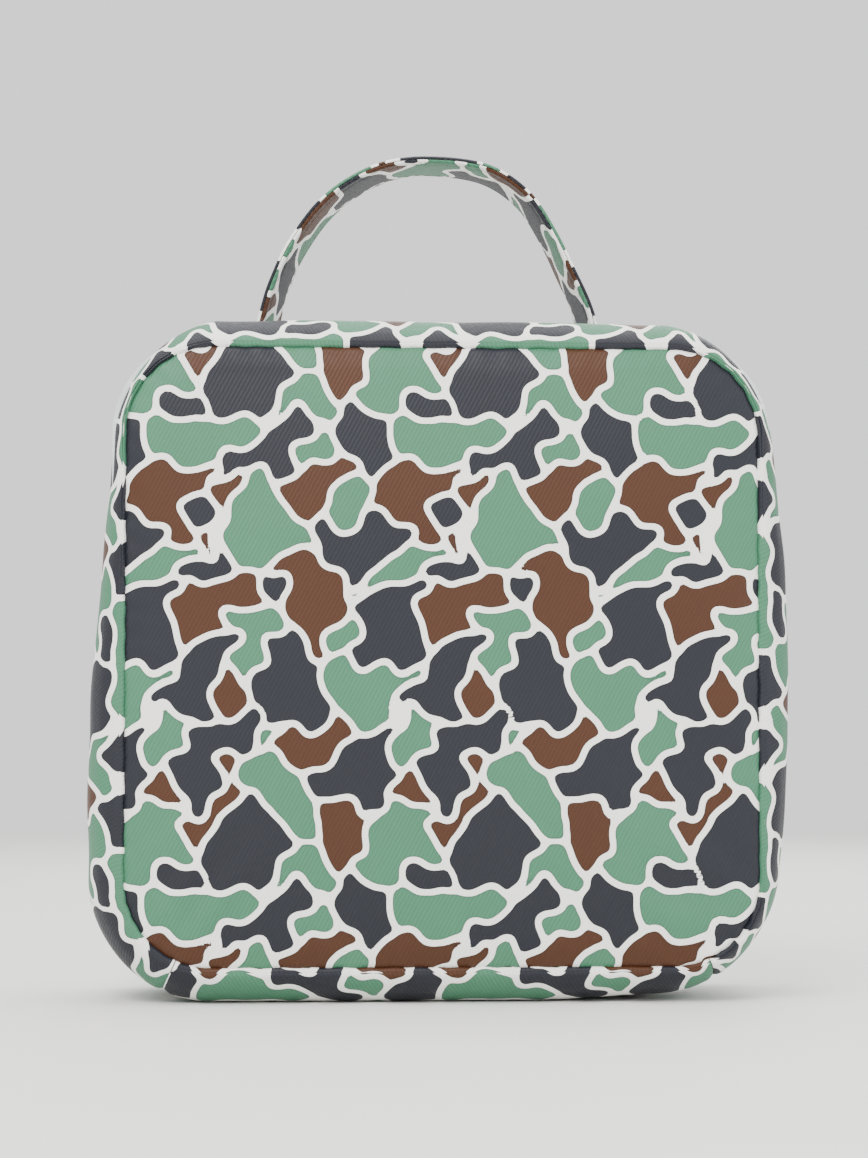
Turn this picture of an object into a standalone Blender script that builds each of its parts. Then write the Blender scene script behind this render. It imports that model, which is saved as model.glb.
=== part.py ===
"""Square insulated cooler bag that opens like a clamshell, with a carry handle on top.

The bag stands on its bottom gusset at z = 0, with the front panel facing -Y, +X to the right and
+Z up. The origin is at the middle of the bag's footprint. Every wall is three layers: printed outer
fabric, foam and lining. A zipper splits the gusset into a front strip, which opens with the front
panel about the bottom front seam, and a rear strip, which stays with the back panel.
"""

import math

import bmesh
import bpy
from mathutils import Matrix, Vector

# --- driving dimensions, in metres -------------------------------------------------------------
GAP = 0.0003  # between pieces that touch

# The seam outline is where a panel meets the gusset; the crest outline is the gusset at its fullest
SEAM_HALF_WIDTH = 0.1145
SEAM_BOTTOM = 0.012
SEAM_TOP = 0.2355
SEAM_RADIUS = 0.032
CREST_HALF_WIDTH = 0.127
CREST_BOTTOM = 0.0
CREST_TOP = 0.2465
CREST_RADIUS = 0.045
HALF_DEPTH = 0.042  # from the middle to each panel's seam
CROWN = 0.006  # how far a panel bulges past its seam

SKIN = 0.0008
FOAM = 0.0045
LINING = 0.0005
FOAM_INSET = SKIN + GAP
LINING_INSET = FOAM_INSET + FOAM + GAP
WALL = LINING_INSET + LINING
PANEL_CORE_INSET = 0.0052  # keeps a panel's foam and lining clear of the gusset's layers
PANEL_RINGS = (1.0, 0.82, 0.58, 0.30)  # sizes of a panel's rings, as shares of its outline
CROWN_POWER = 2.4  # how far out the crown stays full

CROSS_SEAM_DEG = 24.0  # round the lower corner from straight down
CROSS_SEAM_GAP_DEG = 0.6
ZIPPER_END_DEG = 52.0  # the zipper stops above the hinge line
ZIPPER_COVER_Y = (0.0, 0.0107)  # behind where the front strip's edge passes as it opens

ZIPPER_Y = 0.004
FRONT_STRIP_Y = (-0.0408, -0.039, -0.036, -0.030, -0.018, -0.008, -0.003)
FRONT_STRIP_BULGE = (0.12, 0.42, 0.67, 0.90, 1.0, 0.91, 0.64)
REAR_STRIP_Y = (0.011, 0.016, 0.025, 0.034, 0.038, 0.0408)
REAR_STRIP_BULGE = (0.64, 0.91, 1.0, 0.80, 0.55, 0.12)
BOTTOM_Y = (-0.0408, -0.039, -0.036, -0.031, -0.024, 0.024, 0.031, 0.036, 0.039, 0.0408)
BOTTOM_BULGE = (0.12, 0.42, 0.67, 0.88, 1.0, 1.0, 0.88, 0.67, 0.42, 0.12)
ZIPPER_BULGE = 0.64  # the zipper lies in a valley between the two full strips
FOAM_EDGE = 0.0042  # from the zipper's line to the foam and lining on each side

ZIPPER_INSET = 0.0001  # from the zipper's outline to the tape's outer face
TAPE_THICKNESS = 0.0006
CHAIN_HALF_GAP = 0.0007
CHAIN_WIDTH = 0.002
CHAIN_HEIGHT = 0.0013

SLIDER_X = 0.0075
SLIDER_LENGTH = 0.011
SLIDER_HALF_WIDTH = 0.0036
SLIDER_PLATE = 0.0010
SLIDER_JAW = 0.0012  # clearance over and under the chain and tape
POST_X = (0.0015, 0.0045)  # the dividing post, from the slider's middle towards its nose
POST_HALF = 0.0004
BRIDGE_HALF_LENGTH = 0.0042
BRIDGE_HALF_WIDTH = 0.0009
BRIDGE_RISE = 0.0034
BRIDGE_WALL = 0.0010
NOSE_START = 0.22  # shares of the slider's length: where its nose starts and how far it reaches
NOSE_REACH = 0.28
TAIL_WIDTH = 0.72  # share of the full width at the slider's tail and at the pull's crossbar
PULL_LENGTH = 0.022
PULL_HALF_WIDTH = 0.0034
PULL_THICKNESS = 0.0011
PULL_WINDOW = 0.0056  # from the pull's axis to the far end of its window
PULL_CLEARANCE = 0.0005  # between the window and the bridge on each side
CUTTER_REACH = 0.003  # how far the window's cutter stands past the pull on each side

HANDLE_Y = 0.0255
HANDLE_HALF_SPAN = 0.0590
HANDLE_TOP = 0.3150
HANDLE_WIDTH = 0.025
HANDLE_LAYERS = (0.0012, 0.0011, 0.0010)  # outer strap, foam core, inner strap
HANDLE_CORNER = 0.054
HANDLE_END_SHARES = (0.012, 0.05, 0.14, 0.28, 0.48, 0.74, 1.0)  # places up the rounded end
HANDLE_ARCH_STEPS = 9
ANCHOR_LENGTH = 0.020
ANCHOR_OVERLAP = 0.002  # how far an anchor reaches in under the strap's end
ANCHOR_THICKNESS = 0.0014
ANCHOR_CORNER = 0.002

BINDING = 0.0030
BINDING_Y = 0.0388
LID_BINDING_END_DEG = 6.0  # from a cross seam to the end of the lid's binding
CROSS_BINDING_MIDDLE_DEG = 4.0  # from a cross seam to the middle of its binding
CROSS_BINDING_HALF_DEG = 2.2
CROSS_BINDING_HALF_DEPTH = 0.028
CROSS_BINDING_THICKNESS = 0.0018

CORNERS = {"right_bottom": (1, -1), "right_top": (1, 1), "left_top": (-1, 1), "left_bottom": (-1, -1)}
FULL_TURN = (
    ("right_bottom", 0.0, 90.0),
    ("right_top", 90.0, 180.0),
    ("left_top", 180.0, 270.0),
    ("left_bottom", 270.0, 360.0),
)
FACET_DEG = 16.0  # longest step round a corner
SMOOTH_DEG = 40.0  # edges sharper than this stay sharp in the shading


# --- materials -----------------------------------------------------------------------------------
MATERIALS = {
    "printed_twill": ((0.62, 0.68, 0.62, 1.0), 0.62, 0.0),
    "foam": ((0.82, 0.84, 0.84, 1.0), 0.90, 0.0),
    "lining": ((0.70, 0.72, 0.74, 1.0), 0.32, 0.0),
    "binding": ((0.11, 0.12, 0.13, 1.0), 0.85, 0.0),
    "zipper_tape": ((0.10, 0.11, 0.12, 1.0), 0.85, 0.0),
    "zipper_coil": ((0.13, 0.14, 0.15, 1.0), 0.40, 0.0),
    "slider_metal": ((0.30, 0.31, 0.33, 1.0), 0.35, 1.0),
}


def make_material(name):
    """The Principled material of one slot."""
    colour, roughness, metallic = MATERIALS[name]
    material = bpy.data.materials.new(name)
    material.use_nodes = True
    shader = material.node_tree.nodes["Principled BSDF"]
    shader.inputs["Base Color"].default_value = colour
    shader.inputs["Roughness"].default_value = roughness
    shader.inputs["Metallic"].default_value = metallic
    return material


def add_object(name, mesh_builder, slot):
    """Turns a bmesh into a named object with its own material and faces pointing out."""
    bmesh.ops.remove_doubles(mesh_builder, verts=mesh_builder.verts, dist=1e-7)
    bmesh.ops.recalc_face_normals(mesh_builder, faces=mesh_builder.faces)
    mesh = bpy.data.meshes.new(name)
    mesh_builder.to_mesh(mesh)
    mesh_builder.free()
    mesh.shade_smooth()
    mesh.set_sharp_from_angle(angle=math.radians(SMOOTH_DEG))
    mesh.materials.append(make_material(slot))
    mesh.materials[0].name = name + "_" + slot
    piece = bpy.data.objects.new(name, mesh)
    bpy.context.collection.objects.link(piece)
    return piece


def set_pivot(piece, point):
    """Moves an object's origin to its joint without moving its surface."""
    piece.data.transform(Matrix.Translation(-Vector(point)))
    piece.location = point


# --- outlines and shells ---------------------------------------------------------------------------
def mix(low, high, part):
    return low + (high - low) * part


def stations(first_deg=0.0, last_deg=360.0):
    """(corner, angle) pairs round the outline, from straight down, past +X, to straight down."""
    result = []
    for corner, start, end in FULL_TURN:
        low = max(start, first_deg)
        high = min(end, last_deg)
        if high <= low:
            continue
        steps = math.ceil((high - low) / FACET_DEG)
        for step in range(steps + 1):
            result.append((corner, low + (high - low) * step / steps))
    return result


def outline_point(station, bulge, inset):
    """The (x, z) of a station on the outline between the seam (bulge 0) and the crest (bulge 1)."""
    corner, angle = station
    side, level = CORNERS[corner]
    radius = mix(SEAM_RADIUS, CREST_RADIUS, bulge)
    half_width = mix(SEAM_HALF_WIDTH, CREST_HALF_WIDTH, bulge)
    bottom = mix(SEAM_BOTTOM, CREST_BOTTOM, bulge)
    top = mix(SEAM_TOP, CREST_TOP, bulge)
    centre_x = side * (half_width - radius)
    centre_z = top - radius if level > 0 else bottom + radius
    turn = math.radians(angle)
    reach = radius - inset
    return centre_x + reach * math.sin(turn), centre_z - reach * math.cos(turn)


def skin_grid(builder, rows, ring):
    """Joins rows of vertices with quads; ring closes each row on itself."""
    for near, far in zip(rows, rows[1:]):
        count = len(near)
        for i in range(count if ring else count - 1):
            k = (i + 1) % count
            builder.faces.new((near[i], near[k], far[k], far[i]))


def band(name, slot, places, depths, bulges, outer_inset, inner_inset, ring=False):
    """A strip of gusset: a shell between two insets from the outline, swept through the depths."""
    builder = bmesh.new()
    outer = []
    inner = []
    for depth, bulge in zip(depths, bulges):
        for inset, rows in ((outer_inset, outer), (inner_inset, inner)):
            row = []
            for place in places:
                x, z = outline_point(place, bulge, inset)
                row.append(builder.verts.new((x, depth, z)))
            rows.append(row)
    skin_grid(builder, outer, ring)
    skin_grid(builder, inner, ring)
    skin_grid(builder, [outer[0], inner[0]], ring)
    skin_grid(builder, [outer[-1], inner[-1]], ring)
    if not ring:
        for end in (0, -1):
            skin_grid(builder, [[row[end] for row in outer], [row[end] for row in inner]], False)
    return add_object(name, builder, slot)


def domed_panel(name, slot, side, edge_inset, near, far):
    """A crowned rounded-square sheet; near and far are its faces' depths inside the outer face."""
    builder = bmesh.new()
    places = stations()
    centre_z = (SEAM_BOTTOM + SEAM_TOP) / 2
    faces = []
    for layer in (near, far):
        rings = []
        for size in PANEL_RINGS:
            height = HALF_DEPTH + CROWN * (1.0 - size ** CROWN_POWER) - layer
            ring = []
            for place in places:
                x, z = outline_point(place, 0.0, edge_inset)
                ring.append(builder.verts.new((x * size, side * height, centre_z + (z - centre_z) * size)))
            rings.append(ring)
        skin_grid(builder, rings, True)
        builder.faces.new(rings[-1])
        faces.append(rings)
    skin_grid(builder, [faces[0][0], faces[1][0]], True)
    return add_object(name, builder, slot)


# --- walls -----------------------------------------------------------------------------------------
def resample(depths, bulges, low, high):
    """The profile between two depths, with its ends read off the straight runs between points."""
    inside = [(y, b) for y, b in zip(depths, bulges) if low < y < high]

    def bulge_at(y):
        for (y0, b0), (y1, b1) in zip(zip(depths, bulges), zip(depths[1:], bulges[1:])):
            if y0 <= y <= y1:
                return mix(b0, b1, (y - y0) / (y1 - y0))
        return bulges[0] if y < depths[0] else bulges[-1]

    pairs = [(low, bulge_at(low))] + inside + [(high, bulge_at(high))]
    return [y for y, _ in pairs], [b for _, b in pairs]


def make_panels():
    for name, side in (("front", -1), ("back", 1)):
        domed_panel(name + "_panel", "printed_twill", side, 0.0, 0.0, SKIN)
        domed_panel(name + "_foam", "foam", side, PANEL_CORE_INSET, FOAM_INSET, FOAM_INSET + FOAM)
        domed_panel(name + "_lining", "lining", side, PANEL_CORE_INSET, LINING_INSET, WALL)


def make_gussets():
    zipped = stations(CROSS_SEAM_DEG, 360.0 - CROSS_SEAM_DEG)
    under_end = CROSS_SEAM_DEG - CROSS_SEAM_GAP_DEG
    under = stations(360.0 - under_end, 360.0) + stations(0.0, under_end)
    strips = (
        ("front_gusset", zipped, FRONT_STRIP_Y, FRONT_STRIP_BULGE, ZIPPER_Y - FOAM_EDGE, False),
        ("rear_gusset", zipped, REAR_STRIP_Y, REAR_STRIP_BULGE, ZIPPER_Y + FOAM_EDGE, True),
        ("bottom_gusset", under, BOTTOM_Y, BOTTOM_BULGE, None, False),
    )
    for name, places, depths, bulges, core_edge, core_first in strips:
        band(name, "printed_twill", places, depths, bulges, 0.0, SKIN)
        low = core_edge if core_first else depths[0]
        high = depths[-1] if core_first or core_edge is None else core_edge
        core_y, core_bulge = resample(depths, bulges, low, high)
        band(name + "_foam", "foam", places, core_y, core_bulge, FOAM_INSET, FOAM_INSET + FOAM)
        band(name + "_lining", "lining", places, core_y, core_bulge, LINING_INSET, WALL)


def make_bindings():
    """Bound seam allowances in the inside corners, and along the hinge and the cross seams."""
    inset = PANEL_CORE_INSET - BINDING - GAP
    lid_end = CROSS_SEAM_DEG + LID_BINDING_END_DEG
    around = stations(lid_end, 360.0 - lid_end)
    flat = (0.0, 0.0)
    front = (-BINDING_Y, -BINDING_Y + BINDING)
    back = (BINDING_Y - BINDING, BINDING_Y)
    band("lid_binding", "binding", around, front, flat, inset, inset + BINDING)
    band("back_binding", "binding", stations(), back, flat, inset, inset + BINDING, ring=True)
    under = stations(360.0 - CROSS_SEAM_DEG, 360.0) + stations(0.0, CROSS_SEAM_DEG)
    band("hinge_binding", "binding", under, front, flat, inset, inset + BINDING)
    seam_in = WALL + 3 * GAP
    seam_out = seam_in + CROSS_BINDING_THICKNESS
    depths, bulges = resample(BOTTOM_Y, BOTTOM_BULGE, -CROSS_BINDING_HALF_DEPTH, CROSS_BINDING_HALF_DEPTH)
    right = CROSS_SEAM_DEG - CROSS_BINDING_MIDDLE_DEG
    for name, middle in (("right", right), ("left", 360.0 - right)):
        places = stations(middle - CROSS_BINDING_HALF_DEG, middle + CROSS_BINDING_HALF_DEG)
        band("cross_seam_binding_" + name, "binding", places, depths, bulges, seam_in, seam_out)


# --- zipper ----------------------------------------------------------------------------------------
def make_zipper():
    places = stations(ZIPPER_END_DEG, 360.0 - ZIPPER_END_DEG)
    flat = (ZIPPER_BULGE, ZIPPER_BULGE)
    for name, side in (("front", -1), ("rear", 1)):
        skin_edge = FRONT_STRIP_Y[-1] + GAP if side < 0 else REAR_STRIP_Y[0] - GAP
        inner = ZIPPER_Y + side * CHAIN_HALF_GAP
        outer = inner + side * CHAIN_WIDTH
        tape = sorted((skin_edge, inner))
        chain = sorted((inner, outer))
        under = ZIPPER_INSET + TAPE_THICKNESS
        band("zipper_tape_" + name, "zipper_tape", places, tape, flat, ZIPPER_INSET, under)
        base = ZIPPER_INSET - GAP
        band("zipper_coil_" + name, "zipper_coil", places, chain, flat, base - CHAIN_HEIGHT, base)


def make_zipper_covers():
    """Fabric tabs over the zipper's lower ends, sewn to the rear strip and the bottom gusset."""
    flat = (ZIPPER_BULGE, ZIPPER_BULGE)
    for name, end in (("right", CROSS_SEAM_DEG), ("left", 360.0 - ZIPPER_END_DEG)):
        margin = CROSS_SEAM_GAP_DEG
        length = ZIPPER_END_DEG - CROSS_SEAM_DEG
        places = stations(end + margin, end + length - margin)
        under = ZIPPER_INSET + SKIN
        band("zipper_cover_" + name, "printed_twill", places, ZIPPER_COVER_Y, flat, ZIPPER_INSET, under)


def add_box(builder, low, high):
    """A closed box between two corners."""
    corners = [(x, y, z) for x in (low[0], high[0]) for y in (low[1], high[1]) for z in (low[2], high[2])]
    verts = [builder.verts.new(c) for c in corners]
    for quad in ((0, 1, 3, 2), (4, 6, 7, 5), (0, 4, 5, 1), (2, 3, 7, 6), (0, 2, 6, 4), (1, 5, 7, 3)):
        builder.faces.new([verts[i] for i in quad])


def prism(builder, outline, low, high, axis):
    """Extrudes a closed outline of (u, v) points between two values of the given axis."""
    def place(u, v, w):
        return (u, v, w) if axis == "z" else (u, w, v)

    bottom = [builder.verts.new(place(u, v, low)) for u, v in outline]
    top = [builder.verts.new(place(u, v, high)) for u, v in outline]
    skin_grid(builder, [bottom, top], True)
    builder.faces.new(bottom)
    builder.faces.new(top)


def union_into(target, others):
    """Adds the other solids to the target with exact unions, applied, and removes them."""
    for other in others:
        modifier = target.modifiers.new("join", "BOOLEAN")
        modifier.operation = "UNION"
        modifier.object = other
        bpy.context.view_layer.update()
        evaluated = target.evaluated_get(bpy.context.evaluated_depsgraph_get())
        joined = bpy.data.meshes.new_from_object(evaluated)
        target.modifiers.clear()
        old = target.data
        target.data = joined
        bpy.data.meshes.remove(old)
        bpy.data.objects.remove(other)


def zipper_top():
    """Height of the tape's outer face on the straight run along the bag's top."""
    return outline_point(("right_top", 180.0), ZIPPER_BULGE, ZIPPER_INSET)[1]


def bridge_axis_height():
    """Height of the pull's crossbar, which lies on the slider's top plate under the bridge."""
    plate_top = zipper_top() + CHAIN_HEIGHT + SLIDER_JAW + SLIDER_PLATE
    return plate_top + GAP + PULL_THICKNESS / 2


def shield(length, half_width, nose, centre_x):
    """Slider plate outline: straight sides, a blunt tail and a rounded nose towards nose."""
    points = []
    for step in range(7):
        turn = math.pi * step / 6
        reach = length * (NOSE_START + NOSE_REACH * math.sin(turn))
        points.append((centre_x + nose * reach, half_width * math.cos(turn)))
    tail = centre_x - nose * length / 2
    points.append((tail, -half_width * TAIL_WIDTH))
    points.append((tail, half_width * TAIL_WIDTH))
    return points


def make_slider(name, centre_x, nose):
    tape = zipper_top()
    under = tape - TAPE_THICKNESS - SLIDER_JAW
    over = tape + CHAIN_HEIGHT + SLIDER_JAW
    half = SLIDER_PLATE / 2
    outline = [(x, y + ZIPPER_Y) for x, y in shield(SLIDER_LENGTH, SLIDER_HALF_WIDTH, nose, centre_x)]
    post = sorted((centre_x + nose * POST_X[0], centre_x + nose * POST_X[1]))
    arch_y = (ZIPPER_Y - BRIDGE_HALF_WIDTH, ZIPPER_Y + BRIDGE_HALF_WIDTH)
    top, base, middle, bridge = (bmesh.new() for _ in range(4))
    prism(top, outline, over, over + SLIDER_PLATE, "z")
    prism(base, outline, under - SLIDER_PLATE, under, "z")
    post_low = (post[0], ZIPPER_Y - POST_HALF, under - half)
    post_high = (post[1], ZIPPER_Y + POST_HALF, over + half)
    add_box(middle, post_low, post_high)
    prism(bridge, bridge_outline(centre_x, over + SLIDER_PLATE), arch_y[0], arch_y[1], "y")
    slider = add_object(name, top, "slider_metal")
    others = (("_base", base), ("_post", middle), ("_bridge", bridge))
    union_into(slider, [add_object(name + end, builder, "slider_metal") for end, builder in others])
    return slider


def bridge_outline(centre_x, base):
    """Side view of the arch on the slider: an outer arch and, back along it, an inner one."""
    foot = base - SLIDER_PLATE / 2
    outer = arch(centre_x, base, BRIDGE_HALF_LENGTH, BRIDGE_RISE)
    inner = arch(centre_x, base, BRIDGE_HALF_LENGTH - BRIDGE_WALL, BRIDGE_RISE - BRIDGE_WALL)
    inner.reverse()
    ends = [(centre_x + BRIDGE_HALF_LENGTH, foot)]
    far = [(centre_x - BRIDGE_HALF_LENGTH, foot), (centre_x - BRIDGE_HALF_LENGTH + BRIDGE_WALL, foot)]
    return ends + outer + far + inner + [(centre_x + BRIDGE_HALF_LENGTH - BRIDGE_WALL, foot)]


def arch(centre_x, base, half_length, rise):
    """A flattened half loop from +X over the top to -X."""
    points = []
    for step in range(9):
        turn = math.pi * step / 8
        across = math.copysign(abs(math.cos(turn)) ** 0.6, math.cos(turn))
        points.append((centre_x + half_length * across, base + rise * math.sin(turn) ** 0.6))
    return points


def make_pull(name, pivot_x, outward):
    """A flat tab round the slider's bridge, lying along the zipper away from the bag's middle."""
    axis = bridge_axis_height()
    half = PULL_THICKNESS / 2
    builder = bmesh.new()
    outline = []
    tip = PULL_LENGTH - PULL_HALF_WIDTH
    for step in range(9):
        turn = math.pi * (0.5 - step / 8)
        outline.append((tip + PULL_HALF_WIDTH * math.cos(turn), PULL_HALF_WIDTH * math.sin(turn)))
    outline.append((-half, -PULL_HALF_WIDTH * TAIL_WIDTH))
    outline.append((-half, PULL_HALF_WIDTH * TAIL_WIDTH))
    placed = [(pivot_x + outward * u, ZIPPER_Y + v) for u, v in outline]
    prism(builder, placed, axis - half, axis + half, "z")
    tab = add_object(name, builder, "slider_metal")
    builder = bmesh.new()
    window = sorted((pivot_x + outward * half, pivot_x + outward * PULL_WINDOW))
    margin = BRIDGE_HALF_WIDTH + PULL_CLEARANCE
    low = (window[0], ZIPPER_Y - margin, axis - CUTTER_REACH)
    high = (window[1], ZIPPER_Y + margin, axis + CUTTER_REACH)
    add_box(builder, low, high)
    cutter = add_object(name + "_window", builder, "slider_metal")
    cutter.hide_render = True
    cutter.display_type = "WIRE"
    cut = tab.modifiers.new("window", "BOOLEAN")
    cut.operation = "DIFFERENCE"
    cut.object = cutter
    return tab


def make_sliders():
    for side, sign in (("left", -1), ("right", 1)):
        slider = make_slider("slider_" + side, sign * SLIDER_X, -sign)
        set_pivot(slider, (sign * SLIDER_X, ZIPPER_Y, zipper_top()))
        pull = make_pull("pull_" + side, sign * SLIDER_X, sign)
        set_pivot(pull, (sign * SLIDER_X, ZIPPER_Y, bridge_axis_height()))


# --- handle ----------------------------------------------------------------------------------------
def handle_base():
    """Height of the handle's pivot, half a strap width above the anchors."""
    return CREST_TOP + GAP + HANDLE_WIDTH / 2 + ANCHOR_THICKNESS + GAP


def handle_path(inset):
    """(x, z) points of the strap's arch from the left end to the right, inset from its outer face."""
    half_span = HANDLE_HALF_SPAN - inset
    top = HANDLE_TOP - inset
    corner_x = HANDLE_CORNER
    corner_z = HANDLE_TOP - handle_base()
    start = handle_base() - HANDLE_WIDTH / 2
    left = []
    for share in HANDLE_END_SHARES:
        left.append((-half_span, start + share * HANDLE_WIDTH / 2))
    for step in range(1, HANDLE_ARCH_STEPS + 1):
        turn = math.pi / 2 * step / HANDLE_ARCH_STEPS
        x = -half_span + (corner_x - inset) * (1 - math.cos(turn))
        z = top - (corner_z - inset) * (1 - math.sin(turn))
        left.append((x, z))
    right = [(-x, z) for x, z in reversed(left)]
    return left + right


def half_width_at(z):
    """Half the strap's width: full above the pivot, and a half round below it."""
    drop = max(0.0, handle_base() - z)
    full = HANDLE_WIDTH / 2
    return math.sqrt(max(full ** 2 - drop ** 2, 1e-8))


def make_handle():
    inset = 0.0
    names = ("handle_outer_strap", "handle_core", "handle_inner_strap")
    slots = ("printed_twill", "foam", "printed_twill")
    pivot = (0.0, HANDLE_Y, handle_base())
    for name, slot, thickness in zip(names, slots, HANDLE_LAYERS):
        builder = bmesh.new()
        rows = []
        outer_path = handle_path(inset)
        inner_path = handle_path(inset + thickness)
        for (xo, zo), (xi, zi) in zip(outer_path, inner_path):
            half = half_width_at((zo + zi) / 2)
            loop = ((xo, -half, zo), (xo, half, zo), (xi, half, zi), (xi, -half, zi))
            rows.append([builder.verts.new((x, HANDLE_Y + y, z)) for x, y, z in loop])
        skin_grid(builder, rows, True)
        builder.faces.new(rows[0])
        builder.faces.new(rows[-1])
        set_pivot(add_object(name, builder, slot), pivot)
        inset += thickness + GAP


def make_anchors():
    """The handle's two ends, folded outwards and sewn flat on the rear gusset strip."""
    for side, sign in (("left", -1), ("right", 1)):
        builder = bmesh.new()
        near = sign * (HANDLE_HALF_SPAN - ANCHOR_OVERLAP)
        far = near + sign * ANCHOR_LENGTH
        low = CREST_TOP + GAP
        ends = sorted((near, far))
        half = HANDLE_WIDTH / 2
        add_box(builder, (ends[0], HANDLE_Y - half, low), (ends[1], HANDLE_Y + half, low + ANCHOR_THICKNESS))
        bmesh.ops.bevel(
            builder,
            geom=[e for e in builder.edges if abs(e.verts[0].co.z - e.verts[1].co.z) > 1e-5],
            offset=ANCHOR_CORNER,
            segments=2,
            profile=0.5,
            affect="EDGES",
        )
        add_object("handle_anchor_" + side, builder, "printed_twill")


def main():
    for old in list(bpy.data.objects):
        bpy.data.objects.remove(old)
    make_panels()
    make_gussets()
    make_bindings()
    make_zipper()
    make_zipper_covers()
    make_sliders()
    make_handle()
    make_anchors()


main()
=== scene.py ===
"""Looks of the square insulated lunch bag: printed twill, foam, lining, zipper, handle, floor and light.

Every wall is a lofted shell between the seam outline, where a panel is sewn on, and the crest
outline, where the gusset is fullest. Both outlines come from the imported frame.
"""

import math

import bpy
import numpy as np
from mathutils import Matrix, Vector


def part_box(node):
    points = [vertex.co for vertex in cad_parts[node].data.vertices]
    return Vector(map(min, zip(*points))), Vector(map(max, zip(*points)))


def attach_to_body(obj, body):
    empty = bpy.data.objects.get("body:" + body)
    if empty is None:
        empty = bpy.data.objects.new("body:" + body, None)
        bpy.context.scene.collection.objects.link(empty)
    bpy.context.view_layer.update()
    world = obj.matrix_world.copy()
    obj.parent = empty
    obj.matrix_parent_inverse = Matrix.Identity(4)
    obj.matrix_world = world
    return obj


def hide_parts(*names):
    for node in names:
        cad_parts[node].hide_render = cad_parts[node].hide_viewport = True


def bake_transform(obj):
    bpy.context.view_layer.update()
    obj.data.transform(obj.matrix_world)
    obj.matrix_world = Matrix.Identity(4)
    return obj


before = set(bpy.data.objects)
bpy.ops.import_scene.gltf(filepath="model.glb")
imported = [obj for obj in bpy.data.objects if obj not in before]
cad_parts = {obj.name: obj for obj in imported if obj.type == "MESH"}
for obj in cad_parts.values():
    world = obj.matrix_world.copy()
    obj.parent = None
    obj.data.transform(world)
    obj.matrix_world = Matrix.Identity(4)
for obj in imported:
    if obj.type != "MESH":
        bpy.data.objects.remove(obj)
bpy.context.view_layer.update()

MM = 0.001

# --- sizes read from the frame ---
PANEL_LOW, PANEL_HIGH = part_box("front_panel")
STRIP_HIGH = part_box("front_gusset")[1]
REAR_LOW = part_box("rear_gusset")[0]
BASE_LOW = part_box("bottom_gusset")[0]
HANDLE_LOW, HANDLE_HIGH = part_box("handle_outer_strap")

SEAM_HALF_WIDTH = PANEL_HIGH[0]
SEAM_BOTTOM = PANEL_LOW[2]
SEAM_TOP = PANEL_HIGH[2]
SEAM_RADIUS = 0.032
CREST_HALF_WIDTH = STRIP_HIGH[0]
CREST_BOTTOM = BASE_LOW[2]
CREST_TOP = STRIP_HIGH[2]
CREST_RADIUS = 0.045
HALF_DEPTH = 0.042
CROWN = -PANEL_LOW[1] - HALF_DEPTH
STRIP_EDGE = STRIP_HIGH[1]
REAR_EDGE = REAR_LOW[1]
ZIPPER_Y = (STRIP_EDGE + REAR_EDGE) / 2
ZIPPER_BULGE = 0.64
CROSS_SEAM_DEG = 24.0

SKIN = 0.8 * MM
FOAM = 4.5 * MM
LINING = 0.5 * MM
GAP = 0.3 * MM
FOAM_INSET = SKIN + GAP
LINING_INSET = FOAM_INSET + FOAM + GAP
WALL = LINING_INSET + LINING


# --- node helpers ---
class Nodes:
    """A short way to write a Principled material's node tree."""

    def __init__(self, name):
        self.material = bpy.data.materials.new(name)
        self.material.use_nodes = True
        self.tree = self.material.node_tree
        self.shader = self.tree.nodes["Principled BSDF"]

    def set(self, **values):
        for key, value in values.items():
            self.shader.inputs[key.replace("_", " ")].default_value = value
        return self

    def link(self, source, target):
        self.tree.links.new(source, target)

    def node(self, kind, inputs=(), **settings):
        made = self.tree.nodes.new(kind)
        for key, value in settings.items():
            setattr(made, key, value)
        for key, value in dict(inputs).items():
            if isinstance(value, bpy.types.NodeSocket):
                self.link(value, made.inputs[key])
            else:
                made.inputs[key].default_value = value
        return made

    def math(self, operation, first, second=0.0):
        return self.node("ShaderNodeMath", {0: first, 1: second}, operation=operation).outputs[0]

    def ramp(self, value, low, high, to_low=0.0, to_high=1.0, smooth=False):
        kind = "SMOOTHSTEP" if smooth else "LINEAR"
        inputs = {"Value": value, "From Min": low, "From Max": high, "To Min": to_low, "To Max": to_high}
        return self.node("ShaderNodeMapRange", inputs, interpolation_type=kind).outputs[0]

    def blend(self, share, first, second):
        made = self.node("ShaderNodeMix", data_type="RGBA", blend_type="MIX")
        for index, value in ((0, share), (6, first), (7, second)):
            if isinstance(value, bpy.types.NodeSocket):
                self.link(value, made.inputs[index])
            else:
                made.inputs[index].default_value = value
        return made.outputs[2]

    def scaled(self, colour, share):
        inputs = {0: colour if isinstance(colour, bpy.types.NodeSocket) else colour[:3], "Scale": share}
        return self.node("ShaderNodeVectorMath", inputs, operation="SCALE").outputs[0]

    def attribute(self, name):
        return self.node("ShaderNodeAttribute", attribute_name=name)

    def place(self):
        return self.node("ShaderNodeTexCoord").outputs["Object"]

    def noise(self, scale, detail=3.0, vector=None, roughness=0.55):
        inputs = {"Scale": scale, "Detail": detail, "Roughness": roughness}
        where = vector or self.node("ShaderNodeTexCoord").outputs["Object"]
        inputs["Vector"] = where
        return self.node("ShaderNodeTexNoise", inputs).outputs["Fac"]

    def bump(self, height, distance, strength=1.0, normal=None):
        inputs = {"Height": height, "Distance": distance, "Strength": strength}
        if normal is not None:
            inputs["Normal"] = normal
        return self.node("ShaderNodeBump", inputs).outputs[0]

    def finish(self, colour=None, roughness=None, normal=None):
        for key, value in (("Base Color", colour), ("Roughness", roughness), ("Normal", normal)):
            if value is not None:
                self.link(value, self.shader.inputs[key])
        return self.material


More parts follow.
